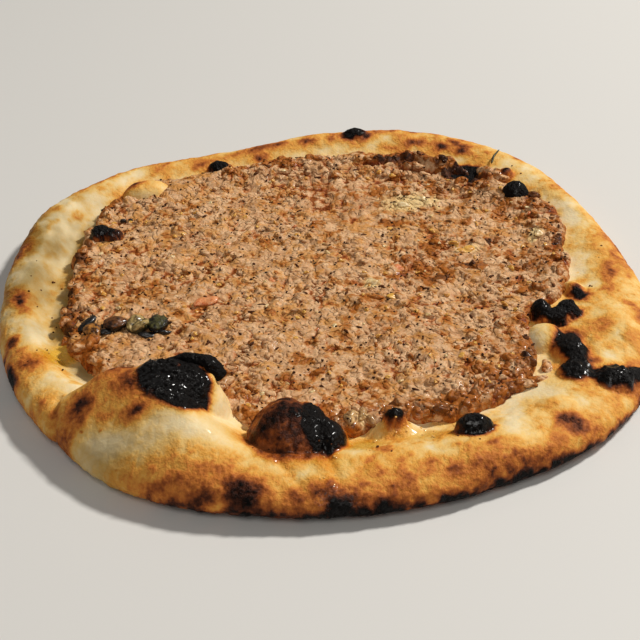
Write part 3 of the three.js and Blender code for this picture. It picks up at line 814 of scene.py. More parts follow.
def bakeBread():
    angle = np.arange(baking["columns"]) * 360 / baking["columns"]
    drawn = breadSurface(angle)
    x, y, z = (drawn[..., axis] for axis in range(3))
    radius = np.hypot(x, y)
    rim = rimAt(angle)
    edge, foot, crest = (rim[name] for name in ("edge", "foot", "crest"))
    wall = eased(radius, crest, edge - 2)        # 0 on the crest, 1 on the outer wall
    under = 1 - eased(z, 0.2, 3.5)               # 1 on the underside
    bare = eased(radius, foot - 18, foot - 6)    # 0 under the meat
    ragged = rough(drawn, 5, 11) * 1.6 + rough(drawn, 1.8, 15) * 0.7
    scorch, gloss, folded = scorchAt(drawn, ragged)
    oil = oilAt(x, y, ragged)
    relief, pimples, creaseShade = crustRelief(drawn, ragged, wall, scorch, folded)
    relief *= (1 - under) * (0.25 + 0.75 * bare)
    points = drawn + outward(drawn) * relief[..., None]

    slope = eased((crest - radius) / (crest - foot), 0.05, 0.75)
    patches, blotches, flecks = rough(points, 22, 8), rough(points, 8, 9), rough(points, 3.2, 10)
    unrolled = np.stack([np.degrees(np.arctan2(y, x)) * 0.8, radius, 0 * x], -1)
    smears = rough(unrolled, 7, 21)              # long the way round the rim
    bake = blend(around(crestBake, angle) + 0 * x, around(wallBake, angle) + 0 * x, wall)
    bake = blend(bake, 0.03, slope * 0.85)
    bake += (0.22 * patches + 0.24 * blotches + 0.16 * smears) * (1 - 0.6 * slope)
    bake += 0.13 * flecks + 0.05 * pimples + 0.09 * relief
    bake += 0.1 * eased(smears + flecks, 0.35, 0.7) * (1 - 0.7 * slope)
    lower = (1 - eased(z + 0.8 * ragged, 2.8, 8.6)) * eased(radius, edge - 13, edge - 5)
    gloss = np.maximum(gloss, 0.3 * lower * eased(-y, 100, 114) * eased(flecks, -0.2, 0.3))
    bake = blend(bake, around(lowerBake, angle) + 0.65 * flecks, lower)
    bake = blend(bake, 0.4 + 0.3 * patches + 0.25 * flecks, under)
    for spot in unbaked.values():
        bake *= 1 - spot[5] * np.exp(-1.4 * ellipseReach(x, y, spot) ** 2)
    bake = np.clip(bake, 0, 1)
    bake = bake + scorch * (1 - bake) + 0.1 * flecks * scorch
    freckle, _, own = cells(points, 7, 12)
    freckles = (1 - eased(freckle, 0.05, 0.16)) * (own > 0.62) * (0.35 + 0.65 * wall)
    bake = np.maximum(bake, 0.55 * freckles)
    # painted shade: the pale crust is darkened in the pressed creases
    bake += 0.12 * creaseShade * (1 - eased(bake, 0.3, 0.5))
    # flour and ash, with painted shade on the left rim and the painted shadow beside the meat's left edge
    flour = dustAndShadeAt(x, y, patches, blotches, radius - rim["topping"] + 0.6 * ragged)
    flour *= (1 - eased(bake, 0.35, 0.6)) * (1 - oil)

    rings = points.reshape(-1, 3)
    noteHeights(crustMap, rings)
    closed = np.concatenate([[[0, 0, 0]], rings, [[0, 0, baking["floorThickness"]]]])
    marks = {"bake": bake, "oil": oil, "flour": flour, "gloss": gloss}
    marks = {name: np.concatenate([[0.4], values.ravel(), [0.1]]) for name, values in marks.items()}
    faces = ringFaces(len(points), baking["columns"])
    makePiece("bread_crust", closed, faces, crustFinish("baked_crust"), marks, ["bread"])


bakeBread()
print("bread baked")


# The torn edge of the lobe's blister, rolled up along its back: x, y and height over the crust of each
# point of its path, and the roll's half width there. gloss is the most gloss of its char.
tornLip = {
    "path": [(-54, -68.5, -0.8), (-50, -68, 0.1), (-46, -67.5, 0.9), (-42, -68, 1.6), (-37.5, -70, 3.0),
             (-33, -72.5, 5.6)],
    "halfWidths": [0.6, 1.5, 2.3, 2.8, 3.0, 2.9],
    "flattened": 0.85, "gloss": 0.35, "rings": 150, "columns": 44,
}


def rollLip():
    # Rings across a smooth path, each a circle pressed a little flat, with folds along its length.
    rings = tornLip["rings"]
    share = np.linspace(0, 1, rings)
    knots = np.array(tornLip["path"], float)
    knots[:, 2] += breadTop(knots[:, 0], knots[:, 1])
    knotShares = np.linspace(0, 1, len(knots))
    smooth = np.hanning(31) / np.hanning(31).sum()
    padded = [np.interp(np.linspace(-0.1, 1.1, rings + 30), knotShares, values) for values in knots.T]
    middle = np.stack([np.convolve(values, smooth, "valid") for values in padded], -1)
    cap = np.sqrt(np.clip(1 - (np.clip(np.abs(share - 0.5) * 2 - 0.86, 0, 1) / 0.14) ** 2, 0, 1))
    half = np.interp(share, knotShares, tornLip["halfWidths"]) * (0.05 + 0.95 * cap)
    ahead = np.gradient(middle, axis=0)
    ahead /= np.linalg.norm(ahead, axis=1, keepdims=True)
    side = np.cross(ahead, [0, 0, 1.0])
    side /= np.linalg.norm(side, axis=1, keepdims=True)
    up = np.cross(side, ahead) * tornLip["flattened"]
    body, wayOut = tubeRings(middle, side, up, half, tornLip["columns"])
    crumple = 0.9 * rough(body, 5, 81) + 0.6 * rough(body, 2, 82)
    body += wayOut * (crumple * cap[:, None])[..., None]
    points = np.concatenate([middle[:1], body.reshape(-1, 3), middle[-1:]])
    marks = {"bake": 0.97 + 0.12 * rough(points, 3, 83), "oil": 0, "flour": 0,
             "gloss": tornLip["gloss"] * eased(rough(points, 6, 84), -0.2, 0.3)}
    faces = ringFaces(rings, tornLip["columns"])[:, ::-1]
    makePiece("torn_blister_lip", points, faces, crustFinish("blister_crust"), marks)


rollLip()
print("blister lip rolled")


meat = {
    "level": 14, "swell": 1.1, "leastEdge": 5.2, "brokenEdge": 3.6, "shoulder": 3.8,
    "lowered": 1.2,          # the core's top lies this far under the heap's outline
    "base": 2.5,             # height of the core's flat bottom, sunk in the dough
    "grid": 300,             # points along each side of the core's grid
    "skirt": 4,              # rings down its edge
    "raggedSize": 9, "ragged": 3.2,
    "keepOff": 1.0,          # bits lie where the meat's top is at least this far above the dough
    "reach": 125,            # places for bits are drawn out to this far each way
}

# Loose bits by kind: count, shortest and longest, width and height as shares of length, share sunk in the
# core, how far they curl, least and most tone and browning, how strongly they gather at the browned edge
# and at the oily front, rings and columns.
strand = {"sunk": 0.74, "browned": 0.0, "oily": 0.0, "grid": (3, 6)}
grains = {
    "meat_strands_pale": {**strand, "count": 1000, "length": (2.2, 5.4), "width": 0.66, "height": 0.38,
                          "curl": 1.8, "tone": (0.35, 0.85), "brown": (-0.2, 0.05)},
    "meat_strands_tan": {**strand, "count": 700, "length": (2.0, 4.8), "width": 0.68, "height": 0.42,
                         "curl": 1.4, "tone": (0.2, 0.7), "brown": (-0.05, 0.2)},
    "meat_crumbs_browned": {**strand, "count": 600, "length": (1.2, 3.4), "width": 0.64, "height": 0.55,
                            "sunk": 0.7, "curl": 0.8, "tone": (0.1, 0.6), "brown": (0.1, 0.4),
                            "browned": 0.5},
    "meat_lumps": {**strand, "count": 200, "length": (3.6, 7.0), "width": 0.66, "height": 0.5,
                   "curl": 0.8, "tone": (0.0, 0.7), "brown": (0.0, 0.45), "browned": 0.8, "grid": (9, 14)},
    "meat_lumps_oily": {**strand, "count": 40, "length": (4.6, 8.0), "width": 0.62, "height": 0.5,
                        "sunk": 0.6, "curl": 0.8, "tone": (0.2, 0.8), "brown": (0.15, 0.5), "oily": 1.0,
                        "grid": (12, 18)},
}


def meatOutline(angle):  # the topping's radius with its ragged break-up
    cosine, sine = direction(angle)
    base = around(baking["toppingRadii"], angle)
    ring = np.stack([base * cosine, base * sine, 0 * base], -1)
    return base + meat["ragged"] * rough(ring, meat["raggedSize"], 21) + 0.9 * rough(ring, 3, 22) - 0.4


def insideMeat(x, y):  # how far inside the meat's outline a place is
    angle, radius = polar(x, y)
    return meatOutline(angle) - radius


def meatTop(x, y):
    # The heap's outline: slow crossed waves on a level, rounded down to a broken edge over the dough.
    angle, radius = polar(x, y)
    rim = rimAt(angle)
    seatHeight = slopeHeight(rim, rim["topping"])
    long = np.sin(x / 17 + 1.1) * np.cos(y / 21 - 0.4)
    short = np.sin(x / 8.3 - y / 11.9) * np.sin(y / 7.1 + 0.8)
    atEdge = np.maximum(meat["level"], seatHeight + meat["leastEdge"])
    shoulder = meat["shoulder"]
    level = blend(atEdge, meat["level"], eased(rim["topping"] - radius, shoulder, 5 * shoulder))
    level += meat["swell"] * (0.6 * long + 0.4 * short)
    inset = np.clip(insideMeat(x, y) / shoulder, 0, 1)
    return blend(seatHeight + meat["brokenEdge"], level, np.sqrt(1 - (1 - inset) ** 2))


# Hollows in the meat, and ridges where the depth is negative: middle x and y, length, width, heading, depth.
pits = {
    "ridge": (52, 97, 36, 8, -22, -3),
    "ridgeEnd": (77, 82.5, 10, 9, -44, -3),
    "cavity": (65, 86.5, 17, 11, -40, 6),
    "crevice": (44, 92, 26, 4, -14, 2.6),
    "creviceLeft": (26, 97, 14, 3.5, 6, 1.8),
    "leftRise": (-88, -35, 15, 10, 0, -2.2),
}


def looseness(flat):  # 0 where the meat has fused together, 1 where it lies in crumbs
    return eased(rough(flat, 13, 49), -0.3, 0.35)


meatRough = {  # sizes and heights of the meat's relief, in millimetres
    "size": {"broadLump": 13, "smallLump": 6.6, "puff": 4, "curl": 2.1, "cleft": 6, "pebble": 1.9},
    "height": {"lump": 0.9, "puff": 1.3, "curl": 0.5, "cleft": 0.6, "pebble": 0.25},
}


def meatRelief(x, y):
    # Fused lumps of two sizes, and on them curled puffs of two sizes: noise folded at zero, which is round
    # on top with a sharp crease between. Gives the height and how deep in a crease the place is, 0 to 1,
    # which the meat's colour takes as painted shade, more in the hollows.
    size, high = meatRough["size"], meatRough["height"]
    flat = plane(x, y)
    curled = flat + 1.7 * np.stack([rough(flat, 4.5, 31), rough(flat, 4.5, 32), 0 * x], -1)
    broad, small = (lumps(curled[..., 0], curled[..., 1], size[part], seed)[0] - 0.8
                    for part, seed in (("broadLump", 43), ("smallLump", 33)))
    puffs = np.abs(noise(curled, size["puff"], 37)) ** 0.6
    curls = np.abs(noise(curled, size["curl"], 40)) ** 0.7
    cleft = np.clip(1 - np.abs(rough(flat, size["cleft"], 34)) * 8, 0, 1)
    cleft *= eased(rough(flat, 15, 36), -0.2, 0.2)
    pebbled = rough(flat, size["pebble"], 45, 2)
    loose = 0.3 + 1.2 * looseness(flat)
    height = high["lump"] * broad + high["lump"] * small - high["cleft"] * cleft + high["pebble"] * pebbled
    height += loose * (high["puff"] * (puffs - 0.5) + high["curl"] * (curls - 0.45))
    height = np.maximum(height, 0.4 * height - 0.9)  # the deepest dips are shallower
    creaseShade = 1 - eased(0.6 * puffs + 0.36 * curls + 0.2 * height + 0.12 * pebbled, -0.12, 0.46)
    creaseShade *= 0.36 + 0.56 * loose
    for spot in pits.values():
        share = 1 - eased(ellipseReach(x, y, spot) + 0.25 * rough(flat, 5, 46), 0.5, 1.1)
        height, creaseShade = height - spot[5] * share, creaseShade + 0.9 * share * (spot[5] > 0)
    return height, creaseShade


# Burnt places in the meat, and the hollow at the back right, whose shade is painted black over its char:
# middle x and y, length, width, heading, strength.
burntSpotsAndShadow = {
    # painted shadow: the hollow's shade, painted black with its char
    "cavity": (65, 87, 20, 14, -40, 2.2),
    "behind": (50, 97, 28, 7, -20, 0.8),
    "crevice": (38, 98, 26, 8, -8, 1.2),
    "leftEdge": (-96, -20, 9, 24, 10, 1.05),
    "leftBack": (-96, 32, 8, 22, 0, 0.8),
    "rightBack": (72, 34, 10, 5, 20, 0.8),
    "right": (62, 14, 13, 6, -20, 0.8),
    "rightEdge": (98, 28, 6, 16, 0, 0.5),
    "middleRight": (48, 6, 12, 6, 30, 0.7),
    "leftFront": (-86, -44, 8, 14, 40, 0.5),
    "backMiddle": (30, 50, 12, 5, -20, 0.6),
    "farBack": (-20, 72, 14, 5, 10, 0.5),
    "ridgeEnd": (77, 83, 9, 8, -40, 0.5),
}


def browning(x, y):
    # How far the meat is browned at a place, more to the right, the front and its edge: 0 to 1, and past 1
    # where it is burnt, and in the back hollow, whose shadow is painted black.
    flat = plane(x, y)
    inside = insideMeat(x, y)
    slow = 0.5 * rough(flat, 20, 41) + 0.28 * rough(flat, 6, 42)
    browned = 0.12 + 0.3 * eased(x, -70, 95) + 0.08 * eased(-y, 30, 90)
    browned += 0.26 * (1 - eased(inside, 1, 12)) + slow
    charred = (1 - eased(inside, 0, 5)) * eased(rough(flat, 9, 44), -0.1, 0.5) * eased(-x, 60, 90)
    ragged = 0.5 * rough(flat, 4, 48)
    burntAndShaded = strongest(x, y, burntSpotsAndShadow, lambda reach: 1 - eased(reach + ragged, 0.5, 1.15))
    return np.clip(browned, 0, 1) + 0.8 * charred + burntAndShaded


# Places where pale onion and soft dough show through: middle x and y, length, width, heading, strength.
paleSpots = {
    "back": (40, 66, 32, 17, 4, 0.8),
    "middle": (20.5, 1.5, 9, 6, 10, 0.95),
    "right": (90, 36, 10, 7, 60, 0.9),
    "rightBack": (62, 28, 13, 8, 30, 0.6),
    "frontRight": (78, -68, 16, 8, -30, 0.8),
    "front": (13, -82, 12, 7, 0, 0.6),
}


def paleness(x, y):
    ragged = 0.55 * rough(plane(x, y), 4, 47)
    return strongest(x, y, paleSpots, lambda reach: 1 - eased(reach + ragged, 0.45, 1.1))


def wetness(x, y):  # how oily the meat is at a place: most along its front edge
    front = eased(-y, 52, 74) * eased(x, -5, 15)
    right = eased(x, 58, 70) * eased(-y, 38, 48)
    return np.maximum(front, right) * (1 - eased(insideMeat(x, y), 5, 15))


def layCore():
    # A square grid drawn onto a round plan: the larger of |u| and |v| is the share of the radius, and the
    # smaller over the larger gives the angle. Skirt rings carry its border down to a flat bottom.
    side = meat["grid"]
    u, v = np.meshgrid(np.linspace(-1, 1, side), np.linspace(-1, 1, side))
    share = np.maximum(np.abs(u), np.abs(v))
    safe = np.maximum(share, 1e-9)
    wide = np.abs(u) >= np.abs(v)
    quarter = 45 * np.where(wide, v / safe * np.sign(u), -u / safe * np.sign(v))
    angle = (np.where(wide, np.where(u >= 0, 0, 180), np.where(v >= 0, 90, 270)) + quarter) % 360
    radius = share * meatOutline(angle)
    cosine, sine = direction(angle)
    x, y = radius * cosine, radius * sine
    relief, creaseShade = meatRelief(x, y)
    top = np.stack([x, y, meatTop(x, y) - meat["lowered"] + relief], -1)
    noteHeights(heapMap, top)

    index = np.arange(side * side).reshape(side, side)
    a, b, c, d = index[:-1, :-1], index[:-1, 1:], index[1:, 1:], index[1:, :-1]
    faces = [np.stack([a, b, c], -1).reshape(-1, 3), np.stack([a, c, d], -1).reshape(-1, 3)]
    border = np.concatenate([index[0, :-1], index[:-1, -1], index[-1, :0:-1], index[:0:-1, 0]])
    edge = top.reshape(-1, 3)[border]
    down = np.linspace(0, 1, meat["skirt"] + 1)[1:, None]
    angle, radius = polar(edge[:, 0], edge[:, 1])
    foot = np.maximum(slopeHeight(rimAt(angle), radius) - meat["base"], meat["base"])
    bulge = 1 + (0.012 * np.sin(np.pi * down) - 0.02 * down)
    skirt = np.stack([edge[:, 0] * bulge, edge[:, 1] * bulge, blend(edge[:, 2], foot, down)], -1)
    pushed = rough(skirt, 3.4, 36) * 0.7 * np.sin(np.pi * down * 0.9)
    skirt[..., :2] += pushed[..., None] * (edge[:, :2] / 100)
    count = len(border)
    loops = [border] + [side * side + count * k + np.arange(count) for k in range(len(down))]
    for upper, lower in zip(loops[:-1], loops[1:]):
        nextUpper, nextLower = np.roll(upper, -1), np.roll(lower, -1)
        faces += [np.stack([upper, lower, nextLower], -1), np.stack([upper, nextLower, nextUpper], -1)]
    middle = side * side + count * len(down)
    faces.append(np.stack([loops[-1], np.full(count, middle), np.roll(loops[-1], -1)], -1))
    points = np.concatenate([top.reshape(-1, 3), skirt.reshape(-1, 3), [[0, 0, meat["base"]]]])

    x, y = points[:, 0], points[:, 1]
    onTop = np.arange(len(points)) < side * side
    marks = {
        "tone": 0.6 * lumps(x, y, 2.9, 133)[1] + 0.2 + 0.3 * rough(plane(x, y), 9, 38),
        "brown": browning(x, y),
        # painted shade: darker in the meat's creases and hollows, and a middling shade down the skirt
        "deep": np.concatenate([creaseShade.ravel(), np.full(len(points) - side * side, 0.5)]),
        "wet": wetness(x, y) * np.where(onTop, 1, 0.2),
        "pale": paleness(x, y),
    }
    makePiece("meat_core", points, np.concatenate(faces), minced, marks, ["meat_topping"])


def scattered(count, draw, margin, favour=None, tries=8):
    # Even random places inside the topping, this far in from its edge, clear of the dough that stands above
    # the meat and of the hollow. favour gives the share of them that is kept at a place.
    x, y = draw.uniform(-meat["reach"], meat["reach"], (2, max(count, 1) * tries))
    inside = insideMeat(x, y) > margin
    x, y = x[inside], y[inside]
    clear = (breadTop(x, y) < meatTop(x, y) - meat["keepOff"]) & (ellipseReach(x, y, pits["cavity"]) > 1)
    x, y = x[clear], y[clear]
    if favour:
        kept = draw.uniform(0, 1, len(x)) < favour(x, y)
        x, y = x[kept], y[kept]
    return x[:count], y[:count]


blobWaves = {"rates": [2.6, 4.0, 5.6], "shares": [0.5, 0.35, 0.3]}  # how fast each swells, and how much


def blobs(middles, sizes, yaw, tilt, draw, wobble, rings, columns, curl=0.4):
    # Balls stretched to half sizes [n, 3], swollen and pinched by three random waves, bent, then turned.
    ball = ballPoints(rings, columns)
    count = len(middles)
    ways = draw.normal(size=(count, 3, 3))
    ways /= np.linalg.norm(ways, axis=2, keepdims=True)
    phases = draw.uniform(0, 6.28, (count, 1, 3))
    waves = np.sin(np.einsum("vk,nwk->nvw", ball, ways) * blobWaves["rates"] + phases)
    shaped = ball[None] * (1 + wobble * (waves @ blobWaves["shares"]))[..., None]
    shaped[..., 1] += draw.uniform(-curl, curl, (count, 1)) * (shaped[..., 0] ** 2 - 0.4)
    shaped = shaped * sizes[:, None, :]
    laid = spun(shaped, yaw, tilt * draw.uniform(-1, 1, count), tilt * draw.uniform(-1, 1, count))
    return laid + middles[:, None, :], repeated(ringFaces(rings, columns), count, len(ball))


def layGrains(name, kind, draw):
    def favour(x, y):
        brown = browning(x, y)
        browned = 1 - kind["browned"] + kind["browned"] * eased(brown, 0.35, 0.7)
        oily = 1 - kind["oily"] + kind["oily"] * (wetness(x, y) > 0.55)
        return browned * oily * (brown < 1.4) * (0.4 + 0.6 * looseness(plane(x, y)))

    x, y = scattered(kind["count"], draw, 1.5, favour, 400 if kind["oily"] else 8)
    length = draw.uniform(*kind["length"], len(x))
    half = length[:, None] / 2 * [1, kind["width"], kind["height"]] * draw.uniform(0.85, 1.15, (len(x), 3))
    z = meatTop(x, y) - meat["lowered"] + meatRelief(x, y)[0] + half[:, 2] * (1 - 2 * kind["sunk"])
    yaw = draw.uniform(0, 2 * np.pi, len(x))
    middles = np.stack([x, y, z], -1)
    points, faces = blobs(middles, half, yaw, 0.4, draw, 0.3, *kind["grid"], kind["curl"])
    noteHeights(heapMap, points)
    # painted shade: each bit darker towards its bottom, where it sinks into the meat
    depth = (z[:, None] + half[:, 2:] - points[..., 2]) / (2 * half[:, 2:])
    marks = {
        "tone": draw.uniform(*kind["tone"], (len(x), 1)),
        "brown": browning(x, y)[:, None] + draw.uniform(*kind["brown"], (len(x), 1)),
        "deep": np.clip(depth * 1.4 - 0.3, 0, 1),
        "wet": wetness(x, y)[:, None],
        "pale": paleness(x, y)[:, None],
    }
    makePiece(name, points, faces, minced, marks)


minced = meatFinish()
layCore()
for order, (name, kind) in enumerate(grains.items()):
    layGrains(name, kind, np.random.default_rng(50 + order))
print("meat laid")


matt = {"Specular IOR Level": 0.15}
specks = {  # raised is the middle's height over the meat, in half heights
    "black_specks": {"count": 760, "length": (0.6, 1.5), "width": 0.8, "height": 0.6, "raised": -0.5,
                     "tilt": 0.4, "light": (76, 40, 16), "dark": (32, 16, 7), "seed": 61},
    "dark_slivers": {"count": 150, "length": (1.4, 3.6), "width": 0.34, "height": 0.3, "raised": -0.3,
                     "tilt": 0.2, "light": (104, 56, 22), "dark": (50, 25, 10), "seed": 62},
}

darkFinishes = {name: plainFinish(name, kind["light"], kind["dark"], 0.6, 0.0006, 0.0002, matt)
                for name, kind in specks.items()}


def sprinkle(name, kind):
    draw = np.random.default_rng(kind["seed"])
    x, y = scattered(kind["count"], draw, 0.5)
    half = draw.uniform(*kind["length"], len(x))[:, None] / 2 * [1, kind["width"], kind["height"]]
    middles = np.stack([x, y, heightOver(heapMap, x, y) + kind["raised"] * half[:, 2]], -1)
    yaw = draw.uniform(0, 2 * np.pi, len(x))
    points, faces = blobs(middles, half, yaw, kind["tilt"], draw, 0.25, 3, 6)
    makePiece(name, points, faces, darkFinishes[name])


for name, kind in specks.items():
    sprinkle(name, kind)
print("specks sprinkled")


# rim is the colour painted as shade under each piece and in its groove.
peppers = {  # size is length, width and height; taper narrows one end; groove presses a fold along the top
    "pepper_corner": {"heading": -62, "size": (9.4, 6.2, 5), "taper": 0.5, "groove": 0.7, "pucker": 0.12,
                      "light": (176, 116, 48), "dark": (58, 30, 12), "rim": (22, 13, 8)},
    "pepper_oval": {"heading": 8, "size": (9, 7.4, 4.4), "taper": 0.1, "groove": 0.3, "pucker": 0.2,
                    "light": (112, 68, 32), "dark": (44, 24, 12), "rim": (18, 10, 7)},
    "pepper_strip": {"heading": 58, "size": (9.6, 8.2, 4.6), "taper": 0.05, "groove": 2.6, "pucker": 0.12,
                     "light": (178, 152, 96), "dark": (84, 66, 34), "rim": (48, 44, 22)},
    "pepper_end": {"heading": 76, "size": (9.6, 7.6, 4.2), "taper": 0.2, "groove": 0.5, "pucker": 0.26,
                   "light": (82, 80, 44), "dark": (24, 21, 16), "rim": (12, 9, 9)},
}
pepperGrid = {"rings": 40, "columns": 48}


def pepperFinish(name, light, dark, rim):
    # Two colours marbled together, and a darker third where the piece turns down into the meat and along
    # its groove: painted shade under the piece and in its fold.
    it = Finish(name, {"IOR": 1.45, "Specular IOR Level": 0.3, "Coat Roughness": 0.16})
    marbling = it.grain(0.0022)
    colour = it.mixed(marbling.stepped(0.38, 0.62), light, dark)
    edged = it.mixed((it.mark("low") + (marbling - 0.5) * 1.2).stepped(0.35, 0.75), colour, rim)
    roughness, coat = (0.4 + (marbling - 0.5) * 0.4).held(), (0.3 + (marbling - 0.5) * 1.2).held()
    return it.feed(edged, roughness, it.bumped(marbling, 0.0006), coat)


def layPepper(node, kind):
    # A ball drawn out to its size over the node's middle, tapered, folded along its top, with puckered skin.
    low, high = (unseat(corner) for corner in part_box(node))
    middle = (low + high) / 2
    length, width, height = kind["size"]
    ball = ballPoints(pepperGrid["rings"], pepperGrid["columns"])
    along, across, up = ball.T
    fold = kind["groove"] * (np.abs(across + 0.15 * np.sin(4 * along)) ** 0.7 - 0.5) * np.clip(up + 0.3, 0, 1)
    shaped = np.stack([along * length / 2, across * (1 - kind["taper"] * along) * width / 2,
                       up * height / 2 + fold], -1)
    shift = middle / 5
    pucker = 1 + kind["pucker"] * rough(ball * 3 + shift, 1.7, 71) + 0.1 * rough(ball * 8 + shift, 2.2, 72)
    shaped *= pucker[:, None]
    yaw = np.radians([kind["heading"]])
    points = spun(shaped[None], yaw, 0 * yaw, 0 * yaw)[0] + [middle[0], middle[1], low[2] + 0.05 * height]
    finish = pepperFinish(f"grilled_{node}", *(paint(*kind[part]) for part in ("light", "dark", "rim")))
    faces = ringFaces(pepperGrid["rings"], pepperGrid["columns"])
    # painted shade: low marks the underside and the groove
    marks = {"low": np.clip(np.maximum(0.75 - up, -0.6 * fold), 0, 1)}
    makePiece(f"grilled_{node}", points, faces, finish, marks, [node])


for node, kind in peppers.items():
    layPepper(node, kind)
print("peppers laid")


# Bits laid one by one on the meat: x, y, length, width, height and heading of each; sunk is the share of the
# height in the meat; scattered is how many more lie at random, and their shortest and longest. Those without
# colours are meat.
bits = {
    "onion_bits": {"placed": [(36, 65, 6, 4, 2.4, 4), (45, 68, 5, 3.6, 2.2, -20), (20, 2, 5, 3.6, 2.4, 10),
                              (91, 36, 5, 3.6, 2.4, 60)],
                   "scattered": (40, 1.0, 2.4), "sunk": 0.72, "slot": "fat",
                   "light": (232, 206, 156), "dark": (212, 174, 112)},
    "fat_bits": {"placed": [(60, 27, 6, 4, 2.4, 30), (56, 31, 4, 3, 2.2, -20), (28, -8, 4, 3, 2.0, 0)],
                 "scattered": (120, 1.2, 2.6), "sunk": 0.75, "slot": "fat",
                 "light": (232, 180, 84), "dark": (206, 142, 56)},
    "tomato_bits": {"placed": [(-43, -8.5, 8, 4.5, 2.4, 12), (32, 13, 5.5, 4.4, 2.4, 0)],
                    "scattered": (10, 1.4, 2.6), "sunk": 0.7, "slot": "meat",
                    "light": (232, 158, 104), "dark": (204, 110, 56)},
    "pepper_skin": {"placed": [(-87, -22.5, 8.4, 4.6, 4.4, 62), (-79, -30, 4, 2.4, 2, 20),
                               (-64, -31, 6.5, 3.4, 2.4, 10), (-58.5, -30, 4.6, 2.8, 2.4, -20),
                               (-80.5, -26, 2, 4, 2, 80), (-83, 55, 2.4, 1.6, 1.4, 0),
                               (-80, 56, 2, 1.4, 1.4, 40)],
                    "scattered": (0, 1, 2), "sunk": 0.5, "slot": "grilled_vegetable",
                    "light": (26, 21, 19), "dark": (9, 7, 7)},
    "meat_clumps": {"placed": [(-35, -62, 8, 5.4, 4, 60), (-32, -55, 5, 3.6, 3, 20),
                               (82, -51, 7, 4, 3.6, 80), (77, -58, 8.5, 4, 3.6, 16),
                               (72, -62, 6, 3.6, 3, -10), (-88, -37.5, 10, 6.5, 5, 12),
                               (-95, -27, 5, 3.6, 3.4, 70),
                               (-97.5, -14, 5, 3.4, 3, 80), (-96, -20, 4.4, 3.4, 3, 40),
                               (-82, -45, 6, 4, 3.4, -40), (-98, 6, 5, 3.2, 3, 95), (-96, 28, 4.6, 3, 3, 80),
                               (75, 88.5, 10, 6, 6, -44), (80, 82, 7, 5, 5, -60), (58, 99.5, 8, 4.4, 5, -24),
                               (47, 103, 8, 4, 4, -14)],
                    "scattered": (0, 1, 2), "sunk": 0.6, "slot": "meat"},
}
bitSkin = {"Coat Weight": 0.25, "Coat Roughness": 0.15, "Subsurface Weight": 0.15, "Subsurface Scale": 0.002,
           "Subsurface Radius": (1.0, 0.7, 0.4)}


def layBits(name, kind, draw):
    count, shortest, longest = kind["scattered"]
    x, y = scattered(count, draw, 4)
    length = draw.uniform(shortest, longest, len(x))
    loose = np.stack([x, y, length, 0.7 * length, 0.55 * length, draw.uniform(0, 180, len(x))], -1)
    rows = np.concatenate([np.array(kind["placed"], float), loose])
    x, y, half = rows[:, 0], rows[:, 1], rows[:, 2:5] / 2
    under = np.maximum(heightOver(heapMap, x, y), heightOver(crustMap, x, y))
    middles = np.stack([x, y, under + half[:, 2] * (1 - 2 * kind["sunk"])], -1)
    points, faces = blobs(middles, half, np.radians(rows[:, 5]), 0.15, draw, 0.5, 13, 20, 0.5)
    if "light" in kind:
        finish, marks = plainFinish(name, kind["light"], kind["dark"], 0.4, 0.002, 0.0006, bitSkin), None
    else:  # craggy and browned as the meat is, with painted shade darkening their undersides
        points += (points - middles[:, None]) * 0.45 * rough(points, 2.4, 98)[..., None]
        low = np.clip((middles[:, None, 2] - points[..., 2]) / half[:, None, 2], 0, 1)
        finish, marks = minced, {"tone": 0.5 + 0.5 * rough(points, 4, 99),
                                 "brown": 0.55 + 0.5 * rough(points, 5, 100), "deep": 0.8 * low, "wet": 0.5}
    makePiece(name, points, faces, finish, marks)


for order, (name, kind) in enumerate(bits.items()):
    layBits(name, kind, np.random.default_rng(90 + order))
print("bits laid")


# A stalk of herb across the meat's edge: x, y and height of its path over what it lies on, its half width,
# and the way across it.
herbStalk = {"path": [(78, 91, 1.4), (79.5, 95, 1.6), (81.5, 99, 1.0), (83, 103, 0.5)], "halfWidth": 0.55,
             "across": (0.84, -0.54, 0), "rings": 40, "columns": 10}


def layStalk():  # rings across a path, thinner towards its tip
    rings, columns = herbStalk["rings"], herbStalk["columns"]
    knots = np.array(herbStalk["path"], float)
    x, y, _ = knots.T
    knots[:, 2] += np.maximum(heightOver(crustMap, x, y), heightOver(heapMap, x, y))
    share = np.linspace(0, 1, rings)
    middle = np.stack([np.interp(share, np.linspace(0, 1, len(knots)), values) for values in knots.T], -1)
    rounded = np.sqrt(np.clip(1 - np.abs(2 * share - 1) ** 8, 0.02, 1))  # 1 but for the two ends
    half = herbStalk["halfWidth"] * rounded * (1 - 0.5 * share)
    body, _ = tubeRings(middle, np.array(herbStalk["across"]), np.array([0, 0, 1.0]), half, columns)
    points = np.concatenate([middle[:1], body.reshape(-1, 3), middle[-1:]])
    finish = plainFinish("herb_stalk", (64, 62, 26), (34, 36, 16), 0.5, 0.001, 0.0002)
    makePiece("herb_stalk", points, ringFaces(rings, columns), finish)


layStalk()
print("stalk laid")


